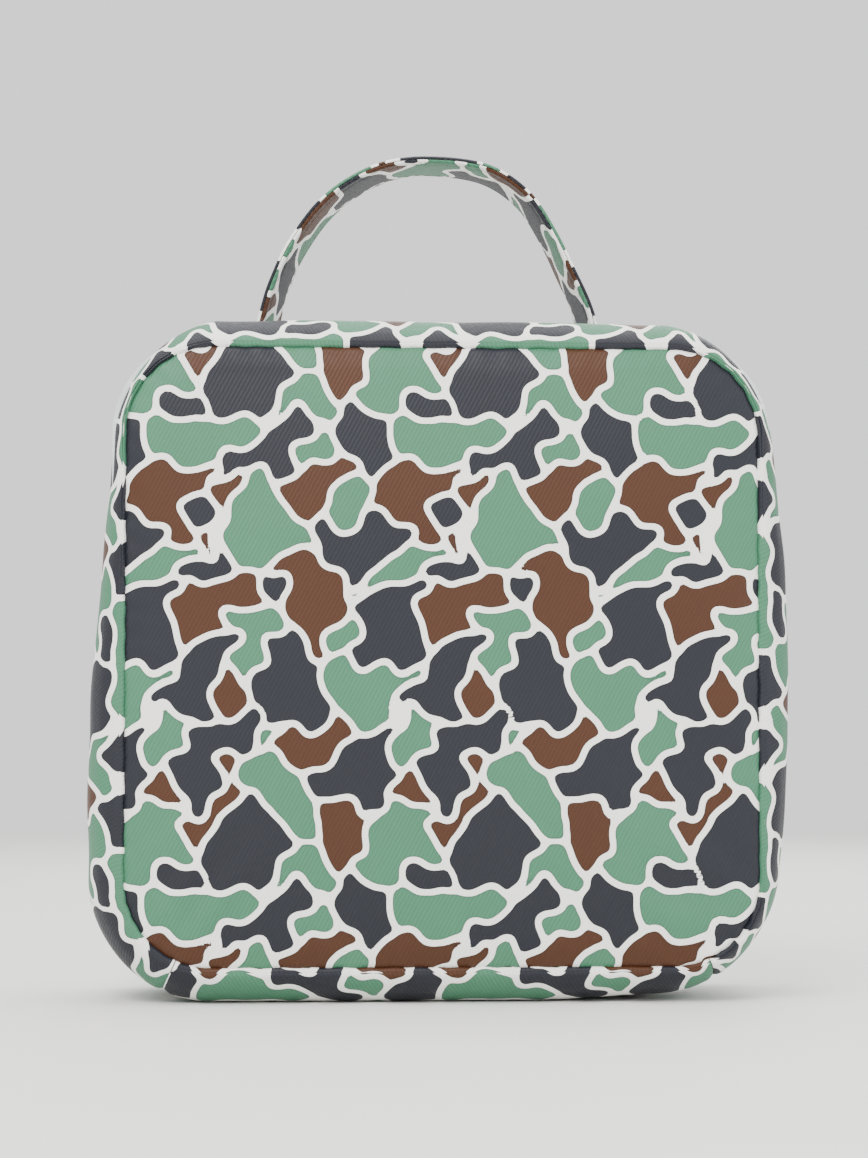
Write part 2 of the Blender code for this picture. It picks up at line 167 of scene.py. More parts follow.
def linear(red, green, blue):
    """A display colour, 0 to 255, as the linear colour that Blender works in."""
    def channel(value):
        value /= 255.0
        return value / 12.92 if value <= 0.04045 else ((value + 0.055) / 1.055) ** 2.4

    return (channel(red), channel(green), channel(blue), 1.0)


CREAM = linear(248, 247, 242)
INKS = (linear(29, 31, 39), linear(66, 118, 90), linear(69, 38, 18))


# --- the print: a generic camouflage of rounded blobs ---
TILE = np.array([88.0, 168.0])  # one repeat, in millimetres
PRINT_STEP = 0.4  # spacing of the print's own grid, in millimetres
PRINT_SEED = 5
PRINT_GAP = 2.15  # width of the pale line between two blobs
PRINT_REACH = 3.2  # how far into a blob its edge distance is known
PRINT_ROUNDING = 0.85  # rounds the blobs' corners, in millimetres
# kind: (how many, least radius, most radius, links, link length, reach)
BLOB_KINDS = {
    "large": (6, 10.0, 13.0, 1, 6.5, 15.5),
    "hat": (11, 4.2, 6.6, 4, 7.5, 11.5),
    "limb": (10, 2.0, 3.8, 6, 6.5, 9.5),
    "oval": (7, 3.0, 4.0, 1, 4.0, 5.5),
}
INK_SHARES = np.array([0.43, 0.35, 0.22])


def place_blob(rng, placed, reach):
    """The freest of some random places in the tile, which repeats on both sides."""
    best = None
    best_room = -math.inf
    for _ in range(60):
        spot = rng.random(2) * TILE
        room = 0.0
        if placed:
            away = np.array([p[:2] for p in placed]) - spot
            away -= TILE * np.round(away / TILE)
            room = (np.hypot(away[:, 0], away[:, 1]) - np.array([p[2] for p in placed]) - reach).min()
        if room > best_room:
            best, best_room = spot, room
    return best


def make_blobs():
    """Skeletons of the print's blobs: a place, a chain of points and a radius at each point."""
    rng = np.random.default_rng(PRINT_SEED)
    placed = []
    blobs = []
    for kind, (count, least, most, links, step, reach) in BLOB_KINDS.items():
        for _ in range(count):
            spot = place_blob(rng, placed, reach)
            placed.append((spot[0], spot[1], reach))
            turn = rng.uniform(-0.9, 0.9)
            if rng.random() < 0.3:
                turn += math.pi / 2
            curve = rng.uniform(0.35, 0.85) * rng.choice([-1, 1])
            points = [np.zeros(2)]
            radii = [rng.uniform(least, most)]
            for _ in range(links):
                heading = np.array([math.cos(turn), math.sin(turn)])
                points.append(points[-1] + step * heading * rng.uniform(0.8, 1.2))
                if kind == "large":
                    radii.append(radii[0] * rng.uniform(0.6, 0.85))
                else:
                    radii.append(radii[-1] * rng.uniform(0.62, 1.05))
                turn += curve * rng.uniform(0.4, 1.2)
            points = np.array(points)
            blobs.append((spot, points - points.mean(axis=0), np.array(radii)))
    return blobs


def wobble(u, v):
    """Bends the plane a little, so that edges between blobs curve; it repeats with the tile."""
    ku, kv = 2 * math.pi / TILE
    du = 2.6 * np.sin(3 * kv * v + 1.3 * np.sin(2 * ku * u)) + 1.6 * np.sin(4 * ku * u + 9 * kv * v + 0.7)
    dv = 2.6 * np.sin(2 * ku * u + 1.0 + 1.2 * np.sin(3 * kv * v))
    dv = dv + 1.6 * np.sin(5 * ku * u - 6 * kv * v + 2.1)
    du = du + 0.7 * np.sin(11 * kv * v + 1.5 * np.sin(3 * ku * u) + 0.4)
    dv = dv + 0.7 * np.sin(6 * ku * u + 1.5 * np.sin(5 * kv * v) + 1.9)
    return u + du, v + dv


def distances(blobs, u, v):
    """Distance from every point to every blob's skeleton, less the skeleton's radius there."""
    point = np.stack([u, v], -1)
    result = np.empty((len(blobs),) + u.shape)
    for row, (spot, chain, radii) in zip(result, blobs):
        local = point - spot
        local -= TILE * np.round(local / TILE)
        row[...] = math.inf
        for start, end, r0, r1 in zip(chain, chain[1:], radii, radii[1:]):
            link = end - start
            share = np.clip(((local - start) @ link) / (link @ link), 0, 1)
            off = local - start - share[..., None] * link
            row[...] = np.minimum(row, np.hypot(off[..., 0], off[..., 1]) - (r0 + share * (r1 - r0)))
    return result


def choose_inks(owner, count):
    """One of three inks for each blob, so that neighbours mostly differ and the shares hold."""
    touch = np.zeros((count, count))
    for a, b in ((owner, np.roll(owner, 1, 0)), (owner, np.roll(owner, 1, 1))):
        np.add.at(touch, (a.ravel(), b.ravel()), 1)
        np.add.at(touch, (b.ravel(), a.ravel()), 1)
    np.fill_diagonal(touch, 0)
    area = np.bincount(owner.ravel(), minlength=count) / owner.size
    rng = np.random.default_rng(PRINT_SEED + 1)
    best = None
    best_cost = math.inf
    for _ in range(40):
        ink = rng.integers(0, 3, count)
        for _ in range(12):
            for i in rng.permutation(count):
                cost = [touch[i][ink == c].sum() + 900 * max(0, area[ink == c].sum() - INK_SHARES[c])
                        for c in range(3)]
                ink[i] = int(np.argmin(cost))
        clashes = sum(touch[i][ink == ink[i]].sum() for i in range(count))
        shares = np.array([area[ink == c].sum() for c in range(3)])
        cost = clashes + 3000 * np.abs(shares - INK_SHARES).sum()
        if cost < best_cost:
            best, best_cost = ink.copy(), cost
    return best


def blurred(field, sigma):
    """A Gaussian blur that wraps round the tile."""
    fy = np.fft.fftfreq(field.shape[0], PRINT_STEP)[:, None]
    fx = np.fft.fftfreq(field.shape[1], PRINT_STEP)[None, :]
    window = np.exp(-2 * (math.pi * sigma) ** 2 * (fx ** 2 + fy ** 2))
    return np.fft.ifft2(np.fft.fft2(field) * window).real


def make_print():
    """The tile: how far each point lies inside each ink, in millimetres, negative outside it."""
    columns = int(TILE[0] / PRINT_STEP)
    rows = int(TILE[1] / PRINT_STEP)
    u, v = np.meshgrid(np.arange(columns) * PRINT_STEP, np.arange(rows) * PRINT_STEP)
    blobs = make_blobs()
    owner = distances(blobs, *wobble(u, v)).argmin(0)
    owner = np.argmax([blurred(owner == blob, PRINT_ROUNDING) for blob in range(len(blobs))], 0)
    ink = choose_inks(owner, len(blobs))[owner]
    inside = np.full(owner.shape, PRINT_REACH)
    outside = np.full((len(INKS), *owner.shape), PRINT_REACH)
    cells = int(PRINT_REACH / PRINT_STEP) + 1
    for down in range(-cells, cells + 1):
        for along in range(-cells, cells + 1):
            away = (math.hypot(down, along) - 0.5) * PRINT_STEP
            if 0 < away < PRINT_REACH:
                other = np.roll(owner, (down, along), (0, 1)) != owner
                inside[other] = np.minimum(inside[other], away)
                other_ink = np.roll(ink, (down, along), (0, 1))
                for number in range(len(INKS)):
                    beside = other_ink == number
                    outside[number][beside] = np.minimum(outside[number][beside], away)
    depths = [np.where(ink == number, inside, -outside[number]) for number in range(len(INKS))]
    return np.stack([blurred(depth - PRINT_GAP / 2, PRINT_ROUNDING) for depth in depths], -1)


PRINT = make_print()


def sample_print(u, v):
    """How far fabric places, in millimetres, lie inside each ink."""
    rows, columns = PRINT.shape[:2]
    x = u / PRINT_STEP
    y = v / PRINT_STEP
    x0 = np.floor(x).astype(int)
    y0 = np.floor(y).astype(int)
    fx, fy = x - x0, y - y0
    depths = np.zeros((*x.shape, len(INKS)))
    for dx, wx in ((0, 1 - fx), (1, fx)):
        for dy, wy in ((0, 1 - fy), (1, fy)):
            depths += PRINT[(y0 + dy) % rows, (x0 + dx) % columns] * (wx * wy)[..., None]
    return depths


def put_attribute(mesh, name, kind, field, values):
    attribute = mesh.attributes.new(name, kind, "POINT")
    attribute.data.foreach_set(field, np.ascontiguousarray(values, np.float32).ravel())


def lay_print(piece, u, v):
    """Stores the print and the cloth's own directions on a mesh, from each vertex's place in the cloth."""
    put_attribute(piece.data, "print_depths", "FLOAT_VECTOR", "vector", sample_print(u, v))
    cloth = np.stack([u, v, np.zeros(u.shape)], -1)
    put_attribute(piece.data, "cloth", "FLOAT_VECTOR", "vector", cloth)


def lay_print_on_grids(piece, u, v):
    """The same for a sheet made by mesh_from_grids, whose two faces take the same print."""
    u, v = (np.tile(values.ravel(), 2) for values in np.broadcast_arrays(u, v))
    lay_print(piece, u, v)


# --- materials ---
RIB_PITCH = 1.35  # millimetres between twill ribs
RIB_ANGLE = math.radians(-28.0)


def twill_height(nodes, pitch=RIB_PITCH, angle=RIB_ANGLE):
    """Fine slanting ribs from the cloth's own directions, broken up a little."""
    cloth = nodes.attribute("cloth").outputs["Vector"]
    parts = nodes.node("ShaderNodeSeparateXYZ", {0: cloth})
    along = nodes.math("MULTIPLY", parts.outputs[0], math.cos(angle) * 2 * math.pi / pitch)
    across = nodes.math("MULTIPLY", parts.outputs[1], math.sin(angle) * 2 * math.pi / pitch)
    shift = nodes.math("MULTIPLY", nodes.noise(0.9, 2.0, cloth), 2.2)
    phase = nodes.math("ADD", nodes.math("ADD", along, across), shift)
    wave = nodes.math("SINE", phase)
    return nodes.ramp(wave, -1.0, 1.0), cloth


def printed_twill(name):
    nodes = Nodes(name)
    nodes.set(Roughness=0.5, Sheen_Weight=0.02, Sheen_Roughness=0.4, Specular_IOR_Level=0.27,
              Coat_Weight=0.04, Coat_Roughness=0.4)
    depths = nodes.node("ShaderNodeSeparateXYZ", {0: nodes.attribute("print_depths").outputs["Vector"]})
    ribs, cloth = twill_height(nodes)
    mottled = nodes.noise(0.05, 4.0, cloth)
    fine = nodes.noise(1.6, 3.0, cloth)
    # painted light: the inks are coloured lighter on the twill ribs' crests and darker in their grooves, a
    # painted highlight and painted shading over the ribs' own bump; the fine and mottled noise add random
    # tone
    painted_rib_light_and_tone = nodes.ramp(ribs, 0.0, 1.0, 0.88, 1.05)
    painted_rib_light_and_tone = nodes.math("MULTIPLY", painted_rib_light_and_tone, nodes.ramp(fine, 0.2, 0.8, 0.95, 1.05))
    painted_rib_light_and_tone = nodes.math("MULTIPLY", painted_rib_light_and_tone, nodes.ramp(mottled, 0.25, 0.75, 0.96, 1.04))
    # the cream ground gets the same painted rib highlight and painted shading, fainter, with the mottled tone
    ground_painted_rib_light_and_tone = nodes.math("MULTIPLY", nodes.ramp(ribs, 0.0, 1.0, 0.95, 1.01),
                              nodes.ramp(mottled, 0.25, 0.75, 0.97, 1.01))
    colour = nodes.scaled(CREAM, ground_painted_rib_light_and_tone)
    for ink, depth in zip(INKS, depths.outputs):
        rim = nodes.ramp(depth, 0.15, 0.55, 0.72, 1.0, smooth=True)
        inked = nodes.scaled(ink, nodes.math("MULTIPLY", rim, painted_rib_light_and_tone))
        colour = nodes.blend(nodes.ramp(depth, -0.06, 0.06, smooth=True), colour, inked)
    rough = nodes.ramp(nodes.noise(0.5, 3.0, cloth), 0.2, 0.8, 0.44, 0.60)
    height = nodes.math("ADD", nodes.math("MULTIPLY", ribs, 1.0), nodes.math("MULTIPLY", fine, 0.5))
    return nodes.finish(colour, rough, nodes.bump(height, 0.09 * MM, 0.75))


def foam_material():
    nodes = Nodes("closed_cell_foam").set(Roughness=0.9, Subsurface_Weight=0.0)
    cells = nodes.node("ShaderNodeTexVoronoi", {"Scale": 900.0,
                       "Vector": nodes.place()})
    tone = nodes.ramp(cells.outputs["Distance"], 0.0, 0.7)
    # painted shading: each cell's middle, the low point of the bump, is coloured darker than its walls
    colour = nodes.blend(tone, linear(205, 208, 208), linear(232, 234, 233))
    return nodes.finish(colour, None, nodes.bump(tone, 0.15 * MM, 0.6))


def lining_material():
    """Wipe-clean film with soft creases and a slight pearly sheen; its colour is painted darker in the
    creases' hollows and lighter on their ridges, as painted shading and highlight.
    """
    nodes = Nodes("lining_film").set(Roughness=0.34, Sheen_Weight=0.1, Coat_Weight=0.25, Coat_Roughness=0.3)
    broad = nodes.noise(38.0, 5.0, roughness=0.6)
    fine = nodes.noise(420.0, 3.0)
    # painted shading and highlight: the creases' own height field colours their hollows darker and their
    # ridges lighter
    colour = nodes.blend(nodes.ramp(broad, 0.3, 0.7), linear(198, 203, 206), linear(222, 225, 227))
    rough = nodes.ramp(fine, 0.3, 0.7, 0.28, 0.46)
    creases = nodes.bump(broad, 1.4 * MM, 0.5)
    return nodes.finish(colour, rough, nodes.bump(fine, 0.08 * MM, 0.6, creases))


def woven_material(name, dark, light, pitch=0.9):
    """Plain woven tape: crossing threads seen from the object's own directions."""
    nodes = Nodes(name).set(Roughness=0.85, Sheen_Weight=0.25, Sheen_Roughness=0.5)
    parts = nodes.node("ShaderNodeSeparateXYZ", {0: nodes.place()})
    turn = 2 * math.pi / (pitch * MM)
    round_bag = nodes.math("ADD", parts.outputs[0], parts.outputs[2])
    warp = nodes.math("SINE", nodes.math("MULTIPLY", round_bag, turn))
    weft = nodes.math("SINE", nodes.math("MULTIPLY", parts.outputs[1], turn))
    threads = nodes.ramp(nodes.math("MULTIPLY", warp, weft), -1.0, 1.0)
    fuzz = nodes.noise(900.0, 2.0)
    tone = nodes.math("MULTIPLY", nodes.math("ADD", threads, fuzz), 0.5)
    # painted shading and highlight: the threads' colour is darker where their bump is low, between crossings,
    # and lighter on their tops; the fuzz adds random tone
    colour = nodes.blend(tone, dark, light)
    rough = nodes.ramp(fuzz, 0.2, 0.8, 0.75, 0.95)
    return nodes.finish(colour, rough, nodes.bump(tone, 0.12 * MM, 0.8))


def plastic_material(name, dark, light, roughness):
    nodes = Nodes(name).set(Roughness=roughness)
    speckle = nodes.noise(260.0, 4.0)
    colour = nodes.blend(nodes.ramp(speckle, 0.3, 0.7), dark, light)
    rough = nodes.ramp(speckle, 0.2, 0.8, roughness - 0.08, roughness + 0.1)
    return nodes.finish(colour, rough, nodes.bump(speckle, 0.05 * MM, 0.3))


def metal_material():
    """Dark plated zinc with slight wear and handling marks."""
    nodes = Nodes("gunmetal").set(Roughness=0.32, Metallic=1.0)
    patches = nodes.noise(180.0, 5.0, roughness=0.65)
    colour = nodes.blend(nodes.ramp(patches, 0.35, 0.75), linear(92, 94, 98), linear(142, 144, 148))
    rough = nodes.ramp(nodes.noise(600.0, 3.0), 0.2, 0.8, 0.24, 0.45)
    return nodes.finish(colour, rough, nodes.bump(patches, 0.03 * MM, 0.4))


def thread_material():
    nodes = Nodes("sewing_thread").set(Roughness=0.7, Sheen_Weight=0.3)
    twist = nodes.node("ShaderNodeTexWave", {"Scale": 1400.0, "Distortion": 1.0,
                       "Vector": nodes.place()}).outputs["Fac"]
    # painted shading: the twist's grooves, low in its bump, are coloured darker than its ridges
    colour = nodes.blend(twist, linear(70, 72, 74), linear(108, 110, 108))
    return nodes.finish(colour, None, nodes.bump(twist, 0.05 * MM, 0.5))


TWILL = printed_twill("printed_twill")
FOAM_LOOK = foam_material()
LINING_LOOK = lining_material()
BINDING_LOOK = woven_material("binding_tape", linear(30, 32, 36), linear(62, 65, 71))
TAPE_LOOK = woven_material("zipper_tape", linear(26, 27, 31), linear(58, 60, 66), 0.7)
COIL_LOOK = plastic_material("zipper_coil", linear(30, 31, 34), linear(52, 54, 58), 0.38)
METAL_LOOK = metal_material()
THREAD_LOOK = thread_material()


# --- the outline and the shells ---
def smoothstep(value, low, high):
    share = np.clip((value - low) / (high - low), 0.0, 1.0)
    return share * share * (3 - 2 * share)


CORNER_SIGNS = np.array([(1, -1), (1, 1), (-1, 1), (-1, -1)], float)
ARC = CREST_RADIUS * math.pi / 2
SIDE = CREST_TOP - CREST_BOTTOM - 2 * CREST_RADIUS
ACROSS = 2 * (CREST_HALF_WIDTH - CREST_RADIUS)
# (first corner, last corner, share of the way between them at the start and the end, angles, length)
RUNS = (
    (3, 0, 0.5, 1.0, 0, 0, ACROSS / 2),
    (0, 0, 0.0, 1.0, 0, 90, ARC),
    (0, 1, 0.0, 1.0, 90, 90, SIDE),
    (1, 1, 0.0, 1.0, 90, 180, ARC),
    (1, 2, 0.0, 1.0, 180, 180, ACROSS),
    (2, 2, 0.0, 1.0, 180, 270, ARC),
    (2, 3, 0.0, 1.0, 270, 270, SIDE),
    (3, 3, 0.0, 1.0, 270, 360, ARC),
    (3, 0, 0.0, 0.5, 360, 360, ACROSS / 2),
)
RUN_ENDS = np.cumsum([run[6] for run in RUNS])
GIRTH = RUN_ENDS[-1]


class Stations:
    """Places round the outline, given by the distance along the crest from the bottom's middle."""

    def __init__(self, distance):
        self.distance = np.asarray(distance, float)
        index = np.clip(np.searchsorted(RUN_ENDS, self.distance, side="right"), 0, len(RUNS) - 1)
        first, last, share0, share1, angle0, angle1, length = np.array(RUNS, float).T[:, index]
        done = 1 - (RUN_ENDS[index] - self.distance) / length
        self.first = CORNER_SIGNS[first.astype(int)]
        self.last = CORNER_SIGNS[last.astype(int)]
        self.share = share0 + done * (share1 - share0)
        self.angle = np.radians(angle0 + done * (angle1 - angle0))
        self.normal = np.stack([np.sin(self.angle), -np.cos(self.angle)], -1)

    def outward(self):
        """The direction out of the bag at each station, as x, y and z."""
        return np.insert(self.normal, 1, 0.0, axis=1)


def as_rows(values):
    """Values as a grid with a row for each point of the profile and a column for each station."""
    values = np.asarray(values, float)
    return values if values.ndim == 2 else values.reshape(-1, 1)


def outline(stations, bulge, inset):
    """x and z for each row's bulge, from 0 at the seam to 1 at the crest, and each station."""
    bulge = as_rows(bulge)
    radius = SEAM_RADIUS + (CREST_RADIUS - SEAM_RADIUS) * bulge
    half_width = SEAM_HALF_WIDTH + (CREST_HALF_WIDTH - SEAM_HALF_WIDTH) * bulge
    bottom = SEAM_BOTTOM + (CREST_BOTTOM - SEAM_BOTTOM) * bulge
    top = SEAM_TOP + (CREST_TOP - SEAM_TOP) * bulge
    x = 0.0
    z = 0.0
    for signs, weight in ((stations.first, 1 - stations.share), (stations.last, stations.share)):
        x = x + weight * signs[:, 0] * (half_width - radius)
        z = z + weight * np.where(signs[:, 1] > 0, top - radius, bottom + radius)
    return x + (radius - inset) * stations.normal[:, 0], z + (radius - inset) * stations.normal[:, 1]


CURVE_STEPS = 30


def curve_through(points, step):
    """Evenly spaced places on a smooth curve through some points, and how far along each one is."""
    knots = np.array(points, float)
    padded = np.vstack([2 * knots[0] - knots[1], knots, 2 * knots[-1] - knots[-2]])
    t = np.linspace(0, 1, CURVE_STEPS, endpoint=False)[:, None]
    dense = []
    for a, b, c, d in zip(padded, padded[1:], padded[2:], padded[3:]):
        bend = (2 * a - 5 * b + 4 * c - d) * t ** 2 + (3 * b - a - 3 * c + d) * t ** 3
        dense.append(b + 0.5 * ((c - a) * t + bend))
    dense = np.vstack(dense + [knots[-1:]])
    travelled = np.concatenate([[0], np.cumsum(np.linalg.norm(np.diff(dense, axis=0), axis=1))])
    even = np.linspace(0, travelled[-1], int(round(travelled[-1] / step)) + 1)
    return np.stack([np.interp(even, travelled, column) for column in dense.T], -1), even


def smooth_profile(points, step):
    """Evenly spaced (y, bulge) rows on a smooth curve through a strip's profile points."""
    scale = CREST_HALF_WIDTH - SEAM_HALF_WIDTH
    places, rows = curve_through(np.array(points) * (1.0, scale), step)
    return places[:, 0], places[:, 1] / scale, rows


def softness(x, y, z, normal_x, normal_z):
    """How far the stuffed gusset stands out of, or sags below, its even shape, in metres."""
    left = np.clip(-normal_x, 0, 1)
    right = np.clip(normal_x, 0, 1)
    top = np.clip(normal_z, 0, 1)
    under = np.clip(-normal_z, 0, 1)
    height = z / CREST_TOP
    # heights here are in millimetres, and lengths inside a sine in metres
    swell = left * (-9.5 * smoothstep(height, 0.33, 1.0) + 0.6 * np.exp(-((height - 0.3) / 0.2) ** 2))
    swell += right * (-8.5 * smoothstep(height, 0.52, 1.0) - 5.5 * smoothstep(-height, -0.42, -0.05))
    swell += top * (-0.5 + 0.5 * np.cos(x / 0.05 + 0.4))
    swell += under * -2.4 * smoothstep(x, 0.03, 0.09)
    ripple = np.sin(x / 0.011 + 2.1 * np.sin(z / 0.017)) * np.sin(z / 0.013 + 1.7 + y / 0.012)
    ripple += 0.6 * np.sin(z / 0.0071 + x / 0.019 + 1.2) * np.sin(x / 0.0083 - y / 0.02)
    return (swell + 0.28 * ripple * (1 - under)) * MM


def seam_puckers(distance_along, from_seam):
    """Little gathers where the cloth is sewn, fading away from the seam."""
    wave = np.sin(distance_along / 0.00155 + 2.4 * np.sin(distance_along / 0.021))
    strength = 0.45 + 0.55 * np.sin(distance_along / 0.034 + 1.0) ** 2
    return 0.26 * MM * wave * strength * np.exp(-from_seam / 0.004)


FRONT_PROFILE = (
    (-0.0388, -0.05), (-0.0406, -0.01), (-0.0417, 0.08), (-0.0411, 0.24), (-0.0390, 0.49), (-0.0358, 0.71),
    (-0.0300, 0.92), (-0.0200, 1.0),
    (-0.0105, 0.955), (-0.0052, 0.82), (-0.0030, 0.69), (-0.0031, 0.60),
)
REAR_PROFILE = (
    (0.0112, 0.60), (0.0111, 0.69), (0.0135, 0.83), (0.0180, 0.95), (0.0255, 1.0), (0.0320, 0.88),
    (0.0362, 0.69), (0.0391, 0.48), (0.0411, 0.24), (0.0417, 0.08), (0.0406, -0.01), (0.0388, -0.05),
)
BASE_PROFILE = (
    (-0.0388, -0.05), (-0.0406, -0.01), (-0.0417, 0.08), (-0.0411, 0.24), (-0.0390, 0.49), (-0.0358, 0.71),
    (-0.0310, 0.92), (-0.0245, 1.0), (0.0, 1.0), (0.0245, 1.0), (0.0310, 0.92),
    (0.0358, 0.71), (0.0390, 0.49), (0.0411, 0.24), (0.0417, 0.08), (0.0406, -0.01), (0.0388, -0.05),
)
CROSS_SEAM = ACROSS / 2 + CREST_RADIUS * math.radians(CROSS_SEAM_DEG)


LOOKUP_STEP = 0.5 * MM
EDGE_BULGE = 0.06  # below this a profile is turned in at its seam
EDGE_DEPTH = 0.0405  # past this a profile is in its fold, up to the bulge FOLD_BULGE
FOLD_BULGE = 0.2


def bulge_along(profile, y):
    """The bulge of a strip's profile at a depth, leaving out its turned-in edges."""
    ys, bulges, _ = smooth_profile(profile, LOOKUP_STEP)
    outer = (bulges > EDGE_BULGE) & ((np.abs(ys) < EDGE_DEPTH) | (bulges > FOLD_BULGE))
    order = np.argsort(ys[outer])
    return np.interp(y, ys[outer][order], bulges[outer][order])


def base_bulge(y):
    """The bottom gusset's bulge at a depth, which the other strips take near the cross seams."""
    return bulge_along(BASE_PROFILE, y)


CROSS_SEAM_REACH = 34.0 * MM  # how far from a cross seam the strips take the bottom's shape
BASE_SHARED_DEPTH = 38.5 * MM  # they take it up to this depth, and fade to their own over the next
BASE_SHARED_FADE = 4.0 * MM
GROOVE_DEPTH = 1.1 * MM
GROOVE_WIDTH = 1.5 * MM


def shell_points(stations, y, bulge, inset, seam_rows=None, ends_at_cross_seam=True):
    """A wall's surface at one inset, with its softness: rows of points along the profile."""
    y = as_rows(y)
    bulge = as_rows(bulge)
    to_seam = np.minimum(stations.distance, GIRTH - stations.distance) - CROSS_SEAM
    if ends_at_cross_seam:
        near = 1 - smoothstep(to_seam, 0.0, CROSS_SEAM_REACH)
        near = near * smoothstep(BASE_SHARED_DEPTH - np.abs(y), 0.0, BASE_SHARED_FADE)
        bulge = bulge + (base_bulge(y) - bulge) * near
    x, z = outline(stations, bulge, inset)
    nx, nz = stations.normal[:, 0], stations.normal[:, 1]
    out = softness(x, y, z, nx, nz) * np.clip(bulge, 0, 1)
    if seam_rows is not None:
        out = out + seam_puckers(stations.distance[None, :], seam_rows.reshape(-1, 1))
    groove = -GROOVE_DEPTH * np.exp(-(to_seam / GROOVE_WIDTH) ** 2)
    out = out + groove * np.clip(bulge, 0, 1)
    x = x + out * nx
    z = z + out * nz
    return np.stack([x, np.broadcast_to(y, x.shape), np.maximum(z, CREST_BOTTOM)], -1)


SHARP_DEG = 50.0  # edges sharper than this stay sharp


def add_object(name, data):
    """A new object in the scene, holding a mesh, a light or a camera."""
    made = bpy.data.objects.new(name, data)
    bpy.context.collection.objects.link(made)
    return made


def mesh_from_grids(name, outer, inner, material):
    """A closed sheet between two grids of points."""
    rows, columns = outer.shape[:2]
    count = rows * columns
    vertices = np.concatenate([outer.reshape(-1, 3), inner.reshape(-1, 3)])
    index = np.arange(count).reshape(rows, columns)

    def quads(a, b, c, d):
        return np.stack([a, b, c, d], -1).reshape(-1, 4)

    faces = [quads(index[:-1, :-1], index[:-1, 1:], index[1:, 1:], index[1:, :-1])]
    faces.append(faces[0][:, ::-1] + count)
    for line, flip in ((index[0], False), (index[-1], True), (index[:, 0], True), (index[:, -1], False)):
        rim = quads(line[1:], line[:-1], line[:-1] + count, line[1:] + count)
        faces.append(rim[:, ::-1] if flip else rim)
    return mesh_piece(name, vertices, np.concatenate(faces), material)


def mesh_piece(name, vertices, faces, material):
    """A smooth mesh with its faces turned outwards."""
    mesh = bpy.data.meshes.new(name)
    mesh.from_pydata(vertices.tolist(), [], faces.tolist())
    a, b, c = (vertices[faces[:, i]] for i in (0, 1, 2))
    volume = np.einsum("ij,ij->i", a, np.cross(b, c)).sum()
    if faces.shape[1] == 4:
        volume += np.einsum("ij,ij->i", a, np.cross(c, vertices[faces[:, 3]])).sum()
    if volume < 0:
        mesh.flip_normals()
    mesh.shade_smooth()
    mesh.set_sharp_from_angle(angle=math.radians(SHARP_DEG))
    mesh.materials.append(material)
    return add_object(name, mesh)


def attach(piece, body, slot_name, *nodes):
    """Makes a piece follow its body; the front strip's pieces are baked in place instead, and the CAD parts
    they replace are hidden.
    """
    if body == "lid_strip":
        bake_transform(piece)
    elif body is not None:
        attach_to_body(piece, body)
    if nodes:
        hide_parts(*nodes)
    return piece


FABRIC_STEP = 1.25 * MM
ROW_STEP = 0.9 * MM
CORE_STEP = 4.0 * MM
CORE_ROW_STEP = CORE_STEP / 1.6
SEAM_SLIT = 0.25 * MM  # between the cross seam and each strip's end


def strip_stations(step, under=False):
    """Stations of the zipped strips, or of the bottom gusset between the cross seams."""
    if under:
        half = CROSS_SEAM - SEAM_SLIT
        count = int(2 * half / step) + 1
        return Stations(np.mod(np.linspace(-half, half, count), GIRTH)), np.linspace(-half, half, count)
    first, last = CROSS_SEAM + SEAM_SLIT, GIRTH - CROSS_SEAM - SEAM_SLIT
    distance = np.linspace(first, last, int((last - first) / step) + 1)
    return Stations(distance), distance


HEM_STITCH = 3.4 * MM  # from the zipper-side edge of a strip to its topstitching
SEAM_STITCH = 2.6 * MM  # from the panel seam to the topstitching beside it


def build_strip(name, body, profile, under, print_shift, core_profile):
    """One gusset strip: printed skin, foam and lining, each its own closed sheet."""
    y, bulge, rows = smooth_profile(profile, ROW_STEP)
    stations, distance = strip_stations(FABRIC_STEP, under)
    ends = not under
    seam_first = y[0] < 0
    seam_rows = rows if seam_first else rows[-1] - rows
    if under:
        seam_rows = np.minimum(rows, rows[-1] - rows)
    outer = shell_points(stations, y, bulge, 0.0, seam_rows, ends)
    inner = shell_points(stations, y, bulge, SKIN, seam_rows, ends)
    skin = mesh_from_grids(name + "_skin", outer, inner, TWILL)
    lay_print_on_grids(skin, distance / MM + print_shift[0], rows[:, None] / MM + print_shift[1])
    attach(skin, body, "printed_twill", name)
    if not under:
        outward = stations.outward()
        from_zipper = rows[-1] - seam_rows
        hem = int(np.argmin(np.abs(from_zipper - HEM_STITCH)))
        seam = int(np.argmin(np.abs(rows[-1] - from_zipper - SEAM_STITCH)))
        across_top = stations.normal[:, 1] > 0.9
        path, normals = grid_row(outer, seam, outward)
        lines = [grid_row(outer, hem, outward), (path[across_top], normals[across_top])]
        stitch_rows(name + "_stitches", lines, body, *STRIP_STITCH)

    y, bulge, rows = smooth_profile(core_profile, CORE_ROW_STEP)
    stations, _ = strip_stations(CORE_STEP, under)
    for part, look, slot_name, near, far in (
        ("foam", FOAM_LOOK, "foam", FOAM_INSET + 0.2 * MM, FOAM_INSET + FOAM),
        ("lining", LINING_LOOK, "lining", LINING_INSET, WALL),
    ):
        outer = shell_points(stations, y, bulge, near, None, ends)
        inner = shell_points(stations, y, bulge, far, None, ends)
        sheet = mesh_from_grids(f"{name}_{part}_soft", outer, inner, look)
        attach(sheet, body, slot_name, f"{name}_{part}")


